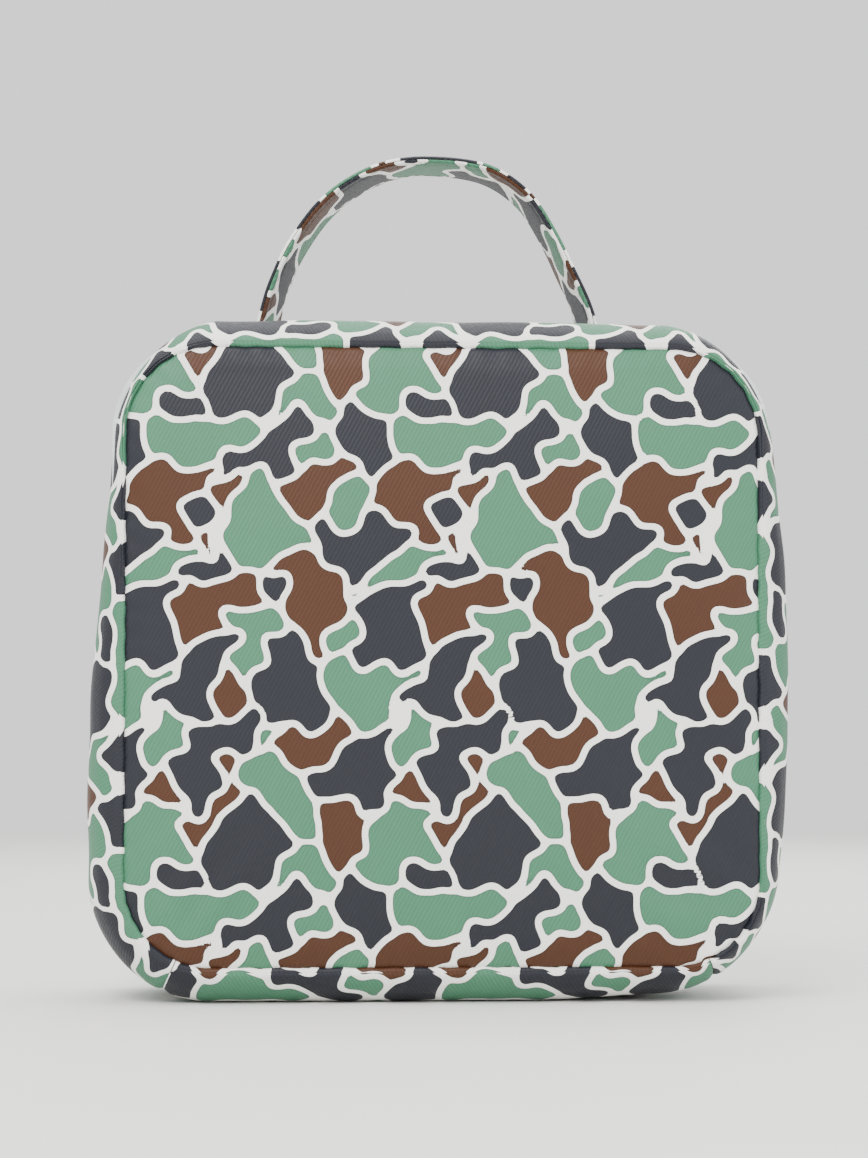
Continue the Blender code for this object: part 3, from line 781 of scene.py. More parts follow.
FRONT_CORE = (
    (-0.0400, 0.28), (-0.0362, 0.66), (-0.0300, 0.90), (-0.0200, 1.0), (-0.0105, 0.94), (-0.0040, 0.70),
    (-0.0004, 0.64),
)
REAR_CORE = (
    (0.0084, 0.64), (0.0120, 0.70), (0.0180, 0.93), (0.0255, 1.0), (0.0320, 0.86), (0.0368, 0.64),
    (0.0400, 0.28),
)
BASE_CORE = (
    (-0.0400, 0.28), (-0.0362, 0.66), (-0.0310, 0.90), (-0.0245, 1.0), (0.0, 1.0), (0.0245, 1.0),
    (0.0310, 0.90), (0.0362, 0.66), (0.0400, 0.28),
)


# --- panels ---
def panel_ring_stations(count):
    """Stations of one square ring of the panel's grid, evenly spaced on the seam outline."""
    dense = Stations(np.linspace(0, GIRTH, 4001))
    x, z = outline(dense, 0.0, 0.0)
    length = np.concatenate([[0], np.cumsum(np.hypot(np.diff(x[0]), np.diff(z[0])))])
    # start in the middle of the lower right corner, so that the grid's corners fall in the corners
    start = np.interp(ACROSS / 2 + ARC / 2, dense.distance, length)
    wanted = np.mod(start + np.linspace(0, length[-1], count, endpoint=False), length[-1])
    return Stations(np.interp(wanted, length, dense.distance))


CREASE_PLACE = (0.088, 0.040)  # middle of the creases in a panel's lower corners, as (x, z)
CREASE_REACH = 0.022
CREASE_DEPTH = 0.45
ROLL_DEPTH = 3.1 * MM
ROLL_WIDTH = 2.6 * MM
SLOPE_DEPTH = 0.9 * MM
SLOPE_WIDTH = 9.0 * MM
SWELL_FADE = 12.0 * MM
CROWN_POWER = 2.6
EDGE_WIDTH = 5.0 * MM  # the part of a panel that rolls into its seam
EDGE_RINGS = {"skin": 10, "foam": 3, "lining": 3}
RING_STEP = {"skin": 1.2 * MM, "foam": 5.0 * MM, "lining": 3.0 * MM}
FOAM_TRIM = 5.2 * MM  # the foam stops short of the seam
LINING_REACH = 4.2 * MM  # how far past the seam outline a panel's lining meets the strips' lining


def panel_depth(x, z, size, from_seam, rolls_in):
    """How far a panel stands out past its seam plane: a soft crown that may roll in at the seam."""
    crown = CROWN * (1 - size ** CROWN_POWER)
    to_edge = 1 - np.clip(from_seam / ROLL_WIDTH, 0, 1)
    roll = ROLL_DEPTH * (1 - np.sqrt(1 - to_edge ** 2))
    roll = roll + SLOPE_DEPTH * (1 - smoothstep(from_seam, 0.0, SLOPE_WIDTH))
    swell = 0.5 * np.sin(x / 0.027 + 0.8) * np.sin(z / 0.031 + 0.3) + 0.2 * np.sin(x / 0.012 + z / 0.02)
    away = (np.abs(x) - CREASE_PLACE[0]) ** 2 + (z - CREASE_PLACE[1]) ** 2
    crease = np.sin((np.abs(x) + z) / 0.0042 + 1.6 * np.sin(x / 0.009))
    swell = swell + CREASE_DEPTH * np.exp(-away / CREASE_REACH ** 2) * crease
    edge_fade = smoothstep(from_seam, 0.0, SWELL_FADE)
    return crown + swell * MM * edge_fade - (roll if rolls_in else 0.0)


def build_panel(name, body, side, print_shift):
    """A panel's printed skin, foam and lining as crowned rounded squares on square-ring grids."""
    centre_z = (SEAM_BOTTOM + SEAM_TOP) / 2
    half = (SEAM_TOP - SEAM_BOTTOM) / 2
    parts = (
        ("skin", TWILL, "printed_twill", 0.0, 0.0, SKIN, f"{name}_panel"),
        ("foam", FOAM_LOOK, "foam", FOAM_TRIM, FOAM_INSET, FOAM_INSET + FOAM, f"{name}_foam"),
        ("lining", LINING_LOOK, "lining", -LINING_REACH, LINING_INSET, WALL, f"{name}_lining"),
    )
    for part, look, slot_name, edge_inset, near, far, node in parts:
        edge_sizes = np.linspace(1 - EDGE_WIDTH / half, 1, EDGE_RINGS[part] + 1)
        field_sizes = np.linspace(0, edge_sizes[0], int(half / RING_STEP[part]) + 1)
        sizes = np.concatenate([field_sizes, edge_sizes[1:]])
        rings = len(sizes) - 1
        layers = []
        for layer in (near, far):
            points = [np.array([[0.0, side * (HALF_DEPTH + CROWN - layer), centre_z]])]
            for ring in range(1, rings + 1):
                size = sizes[ring]
                stations = panel_ring_stations(8 * ring)
                x, z = outline(stations, 0.0, edge_inset)
                x = x[0] * size
                z = centre_z + (z[0] - centre_z) * size
                from_seam = (1 - size) * half + edge_inset
                out = panel_depth(x, z, size, from_seam, part != "lining")
                if part == "skin":
                    out = out + seam_puckers(stations.distance, from_seam)
                y = side * (HALF_DEPTH + out - layer)
                points.append(np.stack([x, y, z], -1))
            layers.append(np.vstack(points))
        faces = square_ring_faces(rings)
        count = len(layers[0])
        rim = np.arange(count - 8 * rings, count)
        after = np.roll(rim, -1)
        band = np.stack([after, rim, rim + count, after + count], -1)
        vertices = np.vstack(layers)
        all_faces = np.vstack([faces, faces[:, ::-1] + count, band])
        sheet = mesh_piece(f"{name}_{part}_soft", vertices, all_faces, look)
        if part == "skin":
            u = vertices[:, 0] / MM * -side + print_shift[0]
            lay_print(sheet, u, vertices[:, 2] / MM + print_shift[1])
        attach(sheet, body, slot_name, node)


def square_ring_faces(rings):
    """Quads of a grid stored as a middle point and rings of 8, 16, 24 … points round it."""
    faces = []

    def number(ring, place):
        return 0 if ring == 0 else 1 + 4 * ring * (ring - 1) + place % (8 * ring)

    for ring in range(1, rings + 1):
        for side in range(4):
            start = side * 2 * ring
            inner_start = side * 2 * (ring - 1)
            for step in range(2 * ring - 1):
                if step == 0:
                    faces.append((number(ring, start - 1), number(ring, start), number(ring, start + 1),
                                  number(ring - 1, inner_start)))
                else:
                    faces.append((number(ring - 1, inner_start + step - 1), number(ring, start + step),
                                  number(ring, start + step + 1), number(ring - 1, inner_start + step)))
    return np.array(faces)


# --- stitches ---
STITCH_SHAPE = ((0.0, 0.35, -0.7), (0.18, 0.9, -0.1), (0.5, 1.0, 0.25), (0.82, 0.9, -0.1), (1.0, 0.35, -0.7))
STITCH_SIDES = 6
THREAD_RADIUS = 0.17 * MM
THREAD_FLATNESS = 1.25  # how many times wider than high a stitch is
STRIP_STITCH, STRAP_STITCH, ANCHOR_STITCH = (  # each stitch's length and the gap after it
    (3.0 * MM, 1.3 * MM), (2.9 * MM, 1.1 * MM), (2.2 * MM, 0.9 * MM),
)


def unit(vectors):
    return vectors / np.linalg.norm(vectors, axis=-1, keepdims=True)


def stitch_rows(name, rows, body, stitch, gap):
    """Dashes of thread along (path, normals) rows: each is a small capsule sunk at both ends."""
    rings = []
    for path, normals in rows:
        length = np.concatenate([[0], np.cumsum(np.linalg.norm(np.diff(path, axis=0), axis=1))])
        starts = np.arange(gap / 2, length[-1] - stitch, stitch + gap)

        def along(values, at):
            return np.stack([np.interp(at, length, values[:, i]) for i in range(3)], -1)

        for share, thick, lift in STITCH_SHAPE:
            at = starts + stitch * share
            tangent = unit(along(path, at + 1e-4) - along(path, at - 1e-4))
            across = unit(np.cross(tangent, along(normals, at)))
            normal = np.cross(across, tangent)
            centre = along(path, at) + normal * THREAD_RADIUS * lift
            turn = 2 * math.pi * np.arange(STITCH_SIDES) / STITCH_SIDES
            ring = np.cos(turn)[:, None, None] * normal
            ring = ring + THREAD_FLATNESS * np.sin(turn)[:, None, None] * across
            rings.append((centre + THREAD_RADIUS * thick * ring).transpose(1, 0, 2))
    levels = len(STITCH_SHAPE)
    dashes = np.concatenate([np.stack(rings[i:i + levels], 1) for i in range(0, len(rings), levels)])
    count = len(dashes)
    index = np.arange(count * levels * STITCH_SIDES).reshape(count, levels, STITCH_SIDES)
    after = np.roll(index, -1, 2)
    sides = np.stack([index[:, :-1], after[:, :-1], after[:, 1:], index[:, 1:]], -1).reshape(-1, 4)
    caps = [sides]
    for level, order in ((0, (0, 3, 2, 1)), (0, (0, 5, 4, 3)), (-1, (0, 1, 2, 3)), (-1, (0, 3, 4, 5))):
        caps.append(index[:, level][:, list(order)])
    piece = mesh_piece(name, dashes.reshape(-1, 3), np.concatenate(caps), THREAD_LOOK)
    return attach(piece, body, "printed_twill")


def grid_row(points, row, toward):
    """One row of a surface's grid as a path, with the normals on the side of a direction."""
    path = points[row]
    beside = points[row + 1] - points[row - 1]
    normals = unit(np.cross(np.gradient(path, axis=0), beside))
    flip = np.einsum("ij,ij->i", normals, toward) < 0
    normals[flip] *= -1
    return path, normals


# --- swept solids ---
def mesh_from_rings(name, rings, closed, material):
    """A solid swept through rings of points; the sweep is closed on itself or capped."""
    rows, sides = rings.shape[:2]
    index = np.arange(rows * sides).reshape(rows, sides)
    if closed:
        index = np.concatenate([index, index[:1]])
    after = np.roll(index, -1, 1)
    faces = [np.stack([index[:-1], after[:-1], after[1:], index[1:]], -1).reshape(-1, 4)]
    if not closed:
        half = sides // 2
        steps = np.arange(half - 1)
        ladder = np.stack([steps, sides - 1 - steps, sides - 2 - steps, steps + 1], -1)
        faces.append(index[0][ladder])
        faces.append(index[-1][ladder[:, ::-1]])
    return mesh_piece(name, rings.reshape(-1, 3), np.concatenate(faces), material)


# --- zipper ---
ZIPPER_END_DEG = 52.0
ZIPPER_FIRST = ACROSS / 2 + CREST_RADIUS * math.radians(ZIPPER_END_DEG)
TAPE_STEP = 2.0 * MM
TAPE_INSET = 1.0 * MM
TAPE_THICKNESS = 0.5 * MM
TAPE_END = 4.0 * MM  # how far the rear tape runs past the coils
TAPE_NARROWING = 6.0 * MM  # the front tape narrows over this
TAPE_GAP = 0.6 * MM  # from the zipper's line to each tape's free edge
TAPE_OVERLAP = 3.5 * MM  # how far a tape reaches in under its strip
NARROW_EDGE = -0.5 * MM  # the front tape's free edge past the zipper's ends
COIL_PITCH = 1.3 * MM
COIL_WIRE = 0.27 * MM
COIL_HALF_WIDTH = 1.3 * MM
COIL_HALF_HEIGHT = 0.5 * MM
COIL_OFFSET = 1.12 * MM  # from the zipper's line to the middle of each coil
COIL_STEPS = 10
COIL_INSET = 0.7 * MM
COIL_LIFT = 0.35 * MM
COVER_OVERLAP = 2.0 * MM  # how much of each coil's end a cover hides
COVER_EDGE = 0.1 * MM
COVER_FOLD = 0.5 * MM
COVER_PRINT_SHIFT = 61.0


def build_tape(side, stations, y, body):
    y = y * np.ones((1, len(stations.distance)))
    bulge = np.full(y.shape, ZIPPER_BULGE)
    faces = [shell_points(stations, y, bulge, inset) for inset in (TAPE_INSET, TAPE_INSET + TAPE_THICKNESS)]
    piece = mesh_from_grids(f"zipper_tape_{side}_soft", *faces, TAPE_LOOK)
    attach(piece, body, "zipper_tape", "zipper_tape_" + side)


def build_tapes():
    """The two fabric tapes; the front one narrows to a strip past the zipper's ends."""
    across = np.linspace(0, 1, 6)[:, None]
    stations, distance = strip_stations(TAPE_STEP)
    past = smoothstep(np.minimum(distance, GIRTH - distance), ZIPPER_FIRST - TAPE_NARROWING, ZIPPER_FIRST)
    free_edge = NARROW_EDGE + (ZIPPER_Y - TAPE_GAP - NARROW_EDGE) * past
    sewn_edge = STRIP_EDGE - TAPE_OVERLAP
    build_tape("front", stations, sewn_edge + across * (free_edge - sewn_edge), "lid_strip")
    stations = Stations(np.arange(ZIPPER_FIRST - TAPE_END, GIRTH - ZIPPER_FIRST + TAPE_END, TAPE_STEP))
    free_edge = ZIPPER_Y + TAPE_GAP
    sewn_edge = REAR_EDGE + TAPE_OVERLAP
    build_tape("rear", stations, free_edge + across * (sewn_edge - free_edge), "bag")


def build_coils():
    """Two wound monofilament coils whose loops mesh along the zipper's line."""
    turns = int((GIRTH - 2 * ZIPPER_FIRST) / COIL_PITCH)
    phase = np.arange(turns * COIL_STEPS + 1) / COIL_STEPS
    turn = 2 * math.pi * phase
    squared = np.sign(np.cos(turn)) * np.abs(np.cos(turn)) ** 0.8
    for name, side, shift, body in (("front", -1, 0.0, "lid_strip"), ("rear", 1, 0.25, "bag")):
        stations = Stations(ZIPPER_FIRST + (phase + shift) * COIL_PITCH)
        y = (ZIPPER_Y + side * (COIL_OFFSET + COIL_HALF_WIDTH * squared))[None, :]
        near = shell_points(stations, y, np.full(y.shape, ZIPPER_BULGE), COIL_INSET)[0]
        outward = stations.outward()
        path = near + outward * (COIL_LIFT + COIL_HALF_HEIGHT * (1 + np.sin(turn)))[:, None]
        tangent = unit(np.gradient(path, axis=0))
        beside = unit(np.cross(tangent, unit(np.cross(outward, tangent) + 1e-9)))
        corners = ((1, beside), (1, np.cross(tangent, beside)), (-1, beside), (-1, np.cross(tangent, beside)))
        rings = np.stack([path + COIL_WIRE * sign * across for sign, across in corners], 1)
        piece = mesh_from_rings(f"zipper_coil_{name}_wound", rings, False, COIL_LOOK)
        attach(piece, body, "zipper_coil", "zipper_coil_" + name)


def build_covers():
    """Printed tabs sewn over the zipper's lower ends."""
    for name, first, last in (
        ("right", CROSS_SEAM + SEAM_SLIT, ZIPPER_FIRST + COVER_OVERLAP),
        ("left", GIRTH - ZIPPER_FIRST - COVER_OVERLAP, GIRTH - CROSS_SEAM - SEAM_SLIT),
    ):
        distance = np.arange(first, last, FABRIC_STEP)
        stations = Stations(distance)
        y = np.linspace(COVER_EDGE, REAR_EDGE - 2 * COVER_EDGE, 11)
        bulge = np.full(y.shape, ZIPPER_BULGE)
        fold = COVER_FOLD * np.sin(np.linspace(0, math.pi, len(y)))
        lift = fold[:, None, None] * stations.outward()
        outer = shell_points(stations, y, bulge, 0.0) + lift
        inner = shell_points(stations, y, bulge, SKIN) + lift
        piece = mesh_from_grids(f"zipper_cover_{name}_soft", outer, inner, TWILL)
        lay_print_on_grids(piece, distance / MM, y[:, None] / MM + COVER_PRINT_SHIFT)
        attach(piece, "bag", "printed_twill", "zipper_cover_" + name)


# --- seam bindings inside ---
BINDING = 3.0 * MM
BINDING_INSET = 1.9 * MM
BINDING_Y = 0.0388
BINDING_SIDES = 12
BINDING_STEP = 2.0 * MM
RINGS_BOUND = (
    ("lid_binding", -BINDING_Y, "lid", (30.0, 330.0)),
    ("hinge_binding", -BINDING_Y, "bag", (-CROSS_SEAM_DEG, CROSS_SEAM_DEG)),
    ("back_binding", BINDING_Y - BINDING, "bag", None),
)
CROSS_BOUND = (("right", CROSS_SEAM_DEG - 4.0), ("left", 364.0 - CROSS_SEAM_DEG))
CROSS_HALF_DEPTH = 28.0 * MM
CROSS_HALF_DEG = 2.2


def corner_distance(degrees):
    """Distance round the outline of a place in a lower corner, in degrees from straight down."""
    if degrees > 180:
        return GIRTH - corner_distance(360 - degrees)
    if degrees < 0:
        return -corner_distance(-degrees)
    return ACROSS / 2 + CREST_RADIUS * math.radians(degrees)


def squared_circle(value):
    return 0.5 + 0.5 * math.copysign(abs(value) ** 0.6, value)


def build_bindings():
    """Folded tape over the seam allowances: round both panels and over the two cross seams."""
    turns = [2 * math.pi * k / BINDING_SIDES for k in range(BINDING_SIDES)]
    for name, y_low, body, degrees in RINGS_BOUND:
        if degrees is None:
            distance = np.linspace(0, GIRTH, int(GIRTH / BINDING_STEP), endpoint=False)
        else:
            first, last = (corner_distance(degree) for degree in degrees)
            distance = np.linspace(first, last, int((last - first) / BINDING_STEP))
        stations = Stations(np.mod(distance, GIRTH))
        wave = 0.18 * MM * np.sin(distance / 0.006) + 0.1 * MM * np.sin(distance / 0.0023)
        loop = []
        for turn in turns:
            inset = BINDING_INSET + BINDING * squared_circle(math.sin(turn)) + wave
            x, z = outline(stations, 0.0, inset)
            y = y_low + BINDING * squared_circle(math.cos(turn))
            loop.append(np.stack([x[0], np.full(len(distance), y), z[0]], -1))
        piece = mesh_from_rings(name + "_soft", np.stack(loop, 1), degrees is None, BINDING_LOOK)
        attach(piece, body, "binding", name)
    y = np.linspace(-CROSS_HALF_DEPTH, CROSS_HALF_DEPTH, 29)
    for name, middle in CROSS_BOUND:
        half = CREST_RADIUS * math.radians(CROSS_HALF_DEG)
        stations = Stations(corner_distance(middle) + np.linspace(-half, half, 9))
        crown = 0.5 * MM * np.cos(np.linspace(-math.pi / 2, math.pi / 2, 9))[None, :]
        near = shell_points(stations, y, base_bulge(y), WALL + 0.9 * MM, None, False)
        far = shell_points(stations, y, base_bulge(y), WALL + 2.2 * MM + crown, None, False)
        piece = mesh_from_grids(f"cross_seam_binding_{name}_soft", near, far, BINDING_LOOK)
        attach(piece, "bag", "binding", "cross_seam_binding_" + name)


# --- handle ---
HANDLE_Y = (HANDLE_LOW[1] + HANDLE_HIGH[1]) / 2
HANDLE_HALF_WIDTH = 0.0125
# the strap's outer face at mid-width, left foot to right foot, as (x, z)
HANDLE_LINE = (
    (-0.0668, 0.2487), (-0.0656, 0.2515), (-0.0642, 0.2560), (-0.0604, 0.2680), (-0.0548, 0.2812),
    (-0.0448, 0.2955), (-0.0325, 0.3062), (-0.0184, 0.3128), (0.0, 0.3150), (0.0200, 0.3124),
    (0.0350, 0.3024), (0.0450, 0.2880), (0.0524, 0.2725), (0.0592, 0.2580), (0.0610, 0.2522),
    (0.0624, 0.2487),
)
FOOT_FADE = (0.2487, 0.2640)  # heights over which the feet stop following the gusset
# (share of the length, degrees)
HANDLE_TWIST = ((0.0, 14.0), (0.25, 9.0), (0.5, 1.5), (0.75, 4.0), (1.0, 7.0))
STRAP_EDGE = 0.25 * MM  # how far a layer's edge rounds out
# (layer, material, slot, half width, CAD piece, steps left off at each foot)
STRAP_LAYERS = (
    ("outer", TWILL, "printed_twill", HANDLE_HALF_WIDTH, "handle_outer_strap", 0),
    ("core", FOAM_LOOK, "foam", 10.4 * MM, "handle_core", 4),
    ("inner", TWILL, "printed_twill", HANDLE_HALF_WIDTH - 0.3 * MM, "handle_inner_strap", 3),
)
STRAP_PRINT_SHIFT = {"outer": (41.0, 11.0), "inner": (59.0, 11.0)}
STITCH_LINE = 9.6 * MM  # from the strap's middle to each row of stitches
ANCHOR_LIFT = 0.3 * MM
ANCHOR_THICKNESS = 1.5 * MM


def top_distance(x):
    """Distance round the outline of a place on the bag's straight top."""
    share = (CREST_HALF_WIDTH - CREST_RADIUS - x) / ACROSS
    return ACROSS / 2 + 2 * ARC + SIDE + share * ACROSS


def rear_bulge(y):
    return bulge_along(REAR_PROFILE, y)


def strap_frames():
    """Points, outward normals and width directions along the handle, with its slight flare."""
    line, travelled = curve_through(HANDLE_LINE, 1.2 * MM)
    tangent = unit(np.gradient(line, axis=0))
    normal = np.stack([-tangent[:, 1], np.zeros(len(line)), tangent[:, 0]], -1)
    share = travelled / travelled[-1]
    twist = np.radians(np.interp(share, *np.array(HANDLE_TWIST).T))[:, None]
    depth = np.array([0.0, 1.0, 0.0])
    width = np.cos(twist) * depth - np.sin(twist) * normal
    outward = np.cos(twist) * normal + np.sin(twist) * depth
    centre = np.stack([line[:, 0], np.full(len(line), HANDLE_Y), line[:, 1]], -1)
    return centre, outward, width, travelled


def settle(points):
    """Lets the strap's feet follow the curved top of the gusset under them."""
    fall = (CREST_TOP - SEAM_TOP) * (rear_bulge(points[..., 1]) - 1.0)
    points[..., 2] += fall * (1 - smoothstep(points[..., 2], *FOOT_FADE))
    return points


def strap_profile(part, w):
    """Heights of a strap layer's two faces across the strap, measured from its outer face."""
    # a puffed middle, a groove at each row of stitches, and pinched edges
    share = np.abs(w) / HANDLE_HALF_WIDTH
    pinch = smoothstep(share, 0.78, 1.0)
    groove = 0.32 * MM * np.exp(-((np.abs(w) - STITCH_LINE) / (1.0 * MM)) ** 2)
    puff = 0.45 * MM * (1 - share ** 2)
    if part == "outer":
        return puff - groove - 0.5 * MM * pinch ** 2 - 0.3 * MM, -1.15 * MM - 0.6 * MM * pinch
    if part == "inner":
        return -2.55 * MM + 0.65 * MM * pinch, -3.35 * MM - 0.5 * puff + groove + 0.45 * MM * pinch ** 2
    return np.full(w.shape, -1.35 * MM), np.full(w.shape, -2.35 * MM)


def strap_ring(part, half_width):
    """Places across a strap layer and their heights: over the top, round one edge and back below."""
    w = np.linspace(-half_width, half_width, 27)
    top, bottom = strap_profile(part, w)
    middle = (top + bottom) / 2
    across = np.concatenate([w, w[-1:] + STRAP_EDGE, w[::-1], w[:1] - STRAP_EDGE])
    height = np.concatenate([top, middle[-1:], bottom[::-1], middle[:1]])
    # the ladder of cap faces runs between points across from each other
    return np.roll(across, 1), np.roll(height, 1)


def build_handle():
    """The strap's three layers, which bend between bag and handle at the feet, and its stitches."""
    centre, outward, width, travelled = strap_frames()
    ripple = 0.25 * MM * np.sin(travelled / 0.0085) * np.sin(travelled / 0.031 + 1.0)
    stitch_lines = []
    for part, look, slot_name, half_width, node, trim in STRAP_LAYERS:
        keep = slice(trim, len(centre) - trim)
        across, height = strap_ring(part, half_width)
        rings = centre[keep, None] + across[None, :, None] * width[keep, None]
        rings = settle(rings + (height[None, :, None] + ripple[keep, None, None]) * outward[keep, None])
        piece = mesh_from_rings(node + "_soft", rings, False, look)
        if part in STRAP_PRINT_SHIFT:
            u, v = np.broadcast_arrays(across[None, :] / MM, travelled[keep, None] / MM)
            shift = STRAP_PRINT_SHIFT[part]
            lay_print(piece, u.ravel() + shift[0], v.ravel() + shift[1])
            face = ("outer", "inner").index(part)
            lift = strap_profile(part, np.array([STITCH_LINE]))[face][0] + ripple[keep, None]
            for side in (-1, 1):
                path = centre[keep] + side * STITCH_LINE * width[keep] + lift * outward[keep]
                stitch_lines.append((settle(path), (1 - 2 * face) * outward[keep]))
        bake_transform(piece)
        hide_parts(node)
    stitches = stitch_rows("handle_stitches", stitch_lines, None, *STRAP_STITCH)
    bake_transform(stitches)


ANCHOR_STARTS = (("left", -1, 63.0 * MM), ("right", 1, 58.6 * MM))  # nearest to the bag's middle
ANCHOR_LENGTH = 21.5 * MM
ANCHOR_ROUNDING = 1.2 * MM
ANCHOR_PRINT_SHIFT = (70.0, 25.0)
BOX_LEFT, BOX_RIGHT = 6.2 * MM, 18.8 * MM  # the boxed stitching, from the anchor's start
BOX_HALF_WIDTH = 10.0 * MM
BOX_LINES = (
    ((BOX_LEFT, -1), (BOX_RIGHT, -1)), ((BOX_RIGHT, -1), (BOX_RIGHT, 1)), ((BOX_RIGHT, 1), (BOX_LEFT, 1)),
    ((BOX_LEFT, 1), (BOX_LEFT, -1)), ((BOX_LEFT, -1), (BOX_RIGHT, 1)), ((BOX_RIGHT, -1), (BOX_LEFT, 1)),
)
BOX_STEPS = 12


def edge_share(places):
    """0 at both ends of a row of places, rising to 1 over the rounding."""
    return smoothstep(np.minimum(places - places[0], places[-1] - places), 0, ANCHOR_ROUNDING)


def build_anchors():
    """The handle's sewn ends: folded outwards, flat on the gusset, with boxed stitching."""
    stitch_lines = []
    up = np.tile((0.0, 0.0, 1.0), (BOX_STEPS, 1))
    for side, sign, start in ANCHOR_STARTS:
        reach = np.linspace(0, ANCHOR_LENGTH, 19)
        x = sign * (start + reach)
        stations = Stations(top_distance(x))
        y = HANDLE_Y + np.linspace(-HANDLE_HALF_WIDTH, HANDLE_HALF_WIDTH, 23)
        thickness = ANCHOR_THICKNESS * (0.45 + 0.55 * edge_share(y)[:, None] * edge_share(reach)[None, :])
        outer = shell_points(stations, y, rear_bulge(y), -ANCHOR_LIFT - thickness)
        inner = shell_points(stations, y, rear_bulge(y), -ANCHOR_LIFT)
        piece = mesh_from_grids(f"handle_end_{side}", outer, inner, TWILL)
        lay_print_on_grids(piece, y[:, None] / MM + ANCHOR_PRINT_SHIFT[0], x / MM + ANCHOR_PRINT_SHIFT[1])
        attach(piece, "bag", "printed_twill", "handle_anchor_" + side)
        share = np.linspace(0, 1, BOX_STEPS)
        for (along0, across0), (along1, across1) in BOX_LINES:
            xs = sign * (start + along0 + (along1 - along0) * share)
            ys = HANDLE_Y + BOX_HALF_WIDTH * (across0 + (across1 - across0) * share)
            line = shell_points(Stations(top_distance(xs)), ys[None, :], rear_bulge(ys)[None, :],
                                -ANCHOR_LIFT - ANCHOR_THICKNESS)[0]
            stitch_lines.append((line, up))
    stitch_rows("handle_end_stitches", stitch_lines, "bag", *ANCHOR_STITCH)


# --- camera, light and floor ---
CAMERA_DISTANCE = 1.10
CAMERA_TURN = math.radians(-3.0)
CAMERA_RISE = math.radians(-3.0)
AIM = (-0.0013, 0.0, 0.1535)
FRAME_WIDTH = 0.323  # how much of the bag's plane the picture's width takes in


def make_camera():
    data = bpy.data.cameras.new("camera")
    data.sensor_fit = "HORIZONTAL"
    data.sensor_width = 36.0
    data.lens = 36.0 * CAMERA_DISTANCE / FRAME_WIDTH
    camera = add_object("camera", data)
    level = math.cos(CAMERA_RISE)
    away = Vector((math.sin(CAMERA_TURN) * level, -math.cos(CAMERA_TURN) * level, math.sin(CAMERA_RISE)))
    camera.location = Vector(AIM) + away * CAMERA_DISTANCE
    camera.rotation_euler = (-away).to_track_quat("-Z", "Y").to_euler()
    bpy.context.scene.camera = camera


LIGHT_TARGET = (0.0, 0.0, 0.14)
# (name, place, width and height, watts, colour)
LIGHTS = (
    ("key", (-0.55, -1.25, 1.35), (0.9, 0.9), 38.0, (1.0, 0.985, 0.96)),
    ("fill", (1.2, -0.9, 0.6), (1.0, 0.8), 8.0, (0.95, 0.975, 1.0)),
    ("top", (0.0, 0.25, 1.5), (1.2, 1.0), 18.0, (1.0, 1.0, 1.0)),
    ("back", (0.4, 1.4, 0.9), (1.0, 0.8), 10.0, (1.0, 1.0, 1.0)),
)
WORLD_COLOUR = (0.90, 0.90, 0.90, 1.0)
WORLD_STRENGTH = 1.4
FLOOR_RADII = (0.4, 1.2, 3.0, 9.0, 30.0)
FLOOR_SIDES = 64
FLOOR_Z = -0.2 * MM
FLOOR_FADE = (0.9, 2.4)  # the floor fades into the world's colour between these distances


def make_light(name, place, size, power, colour):
    data = bpy.data.lights.new(name, "AREA")
    data.shape = "RECTANGLE"
    data.size, data.size_y = size
    data.energy = power
    data.color = colour
    light = add_object(name, data)
    light.location = place
    light.rotation_euler = (Vector(LIGHT_TARGET) - Vector(place)).to_track_quat("-Z", "Y").to_euler()


def make_world():
    world = bpy.data.worlds.new("studio")
    world.use_nodes = True
    background = world.node_tree.nodes["Background"]
    background.inputs["Color"].default_value = WORLD_COLOUR
    background.inputs["Strength"].default_value = WORLD_STRENGTH
    bpy.context.scene.world = world


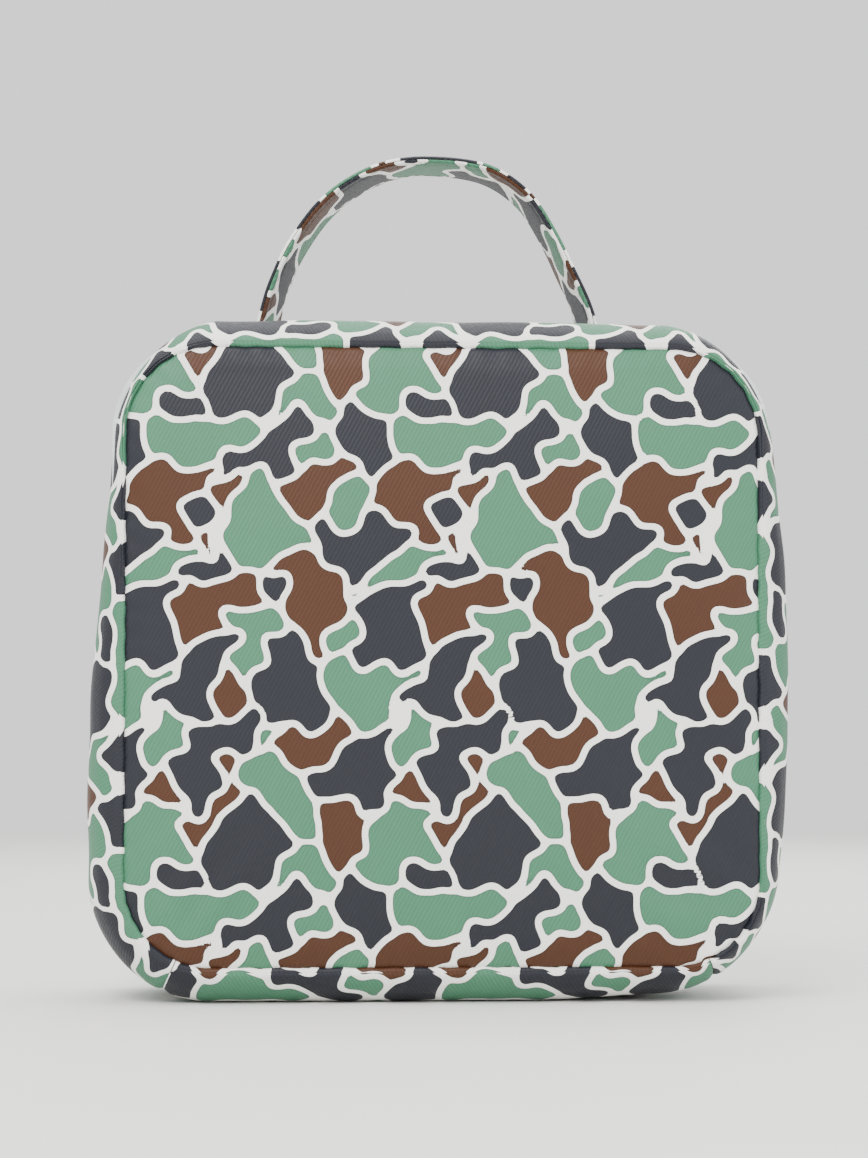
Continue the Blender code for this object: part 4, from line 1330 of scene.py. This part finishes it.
def floor_material():
    """Pale floor that fades into the world's colour far from the bag."""
    nodes = Nodes("pale_floor").set(Roughness=0.75)
    grain = nodes.noise(9.0, 5.0)
    nodes.finish(nodes.blend(grain, linear(222, 221, 218), linear(230, 229, 227)))
    away = nodes.node("ShaderNodeVectorMath", {0: nodes.place()}, operation="LENGTH").outputs["Value"]
    glow = nodes.node("ShaderNodeEmission", {"Color": WORLD_COLOUR, "Strength": WORLD_STRENGTH}).outputs[0]
    share = nodes.ramp(away, *FLOOR_FADE, smooth=True)
    mixed = nodes.node("ShaderNodeMixShader", {0: share, 1: nodes.shader.outputs[0], 2: glow}).outputs[0]
    nodes.link(mixed, nodes.tree.nodes["Material Output"].inputs["Surface"])
    return nodes.material


def make_stage():
    make_world()
    for light in LIGHTS:
        make_light(*light)
    turns = 2 * math.pi * np.arange(FLOOR_SIDES) / FLOOR_SIDES
    circle = np.stack([np.cos(turns), np.sin(turns)], -1)
    vertices = np.vstack([np.insert(radius * circle, 2, FLOOR_Z, axis=1) for radius in FLOOR_RADII])
    index = np.arange(len(vertices)).reshape(len(FLOOR_RADII), FLOOR_SIDES)
    after = np.roll(index, -1, 1)
    bands = np.stack([index[:-1], index[1:], after[1:], after[:-1]], -1).reshape(-1, 4)
    mesh = bpy.data.meshes.new("floor")
    mesh.from_pydata(vertices.tolist(), [], [index[0].tolist(), *bands.tolist()])
    mesh.materials.append(floor_material())
    add_object("floor", mesh)


METAL_EDGE = 0.18 * MM
METAL_EDGE_DEG = 35.0


def dress_metal():
    """Gives the sliders and pulls their finish and softened edges."""
    for name in ("slider_left", "slider_right", "pull_left", "pull_right"):
        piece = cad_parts[name]
        piece.data.materials.clear()
        piece.data.materials.append(METAL_LOOK)
        edge = piece.modifiers.new("edge", "BEVEL")
        edge.width = METAL_EDGE
        edge.segments = 3
        edge.limit_method = "ANGLE"
        edge.angle_limit = math.radians(METAL_EDGE_DEG)


PANELS = (("front", "lid", -1, (0.0, 0.0)), ("back", "bag", 1, (31.0, 57.0)))
STRIPS = (
    ("front_gusset", "lid_strip", FRONT_PROFILE, False, (12.0, 34.0), FRONT_CORE),
    ("rear_gusset", "bag", REAR_PROFILE, False, (40.0, 96.0), REAR_CORE),
    ("bottom_gusset", "bag", BASE_PROFILE, True, (70.0, 20.0), BASE_CORE),
)


def main():
    make_camera()
    make_stage()
    for panel in PANELS:
        build_panel(*panel)
    for strip in STRIPS:
        build_strip(*strip)
    build_tapes()
    build_coils()
    build_covers()
    build_bindings()
    build_handle()
    build_anchors()
    dress_metal()


main()
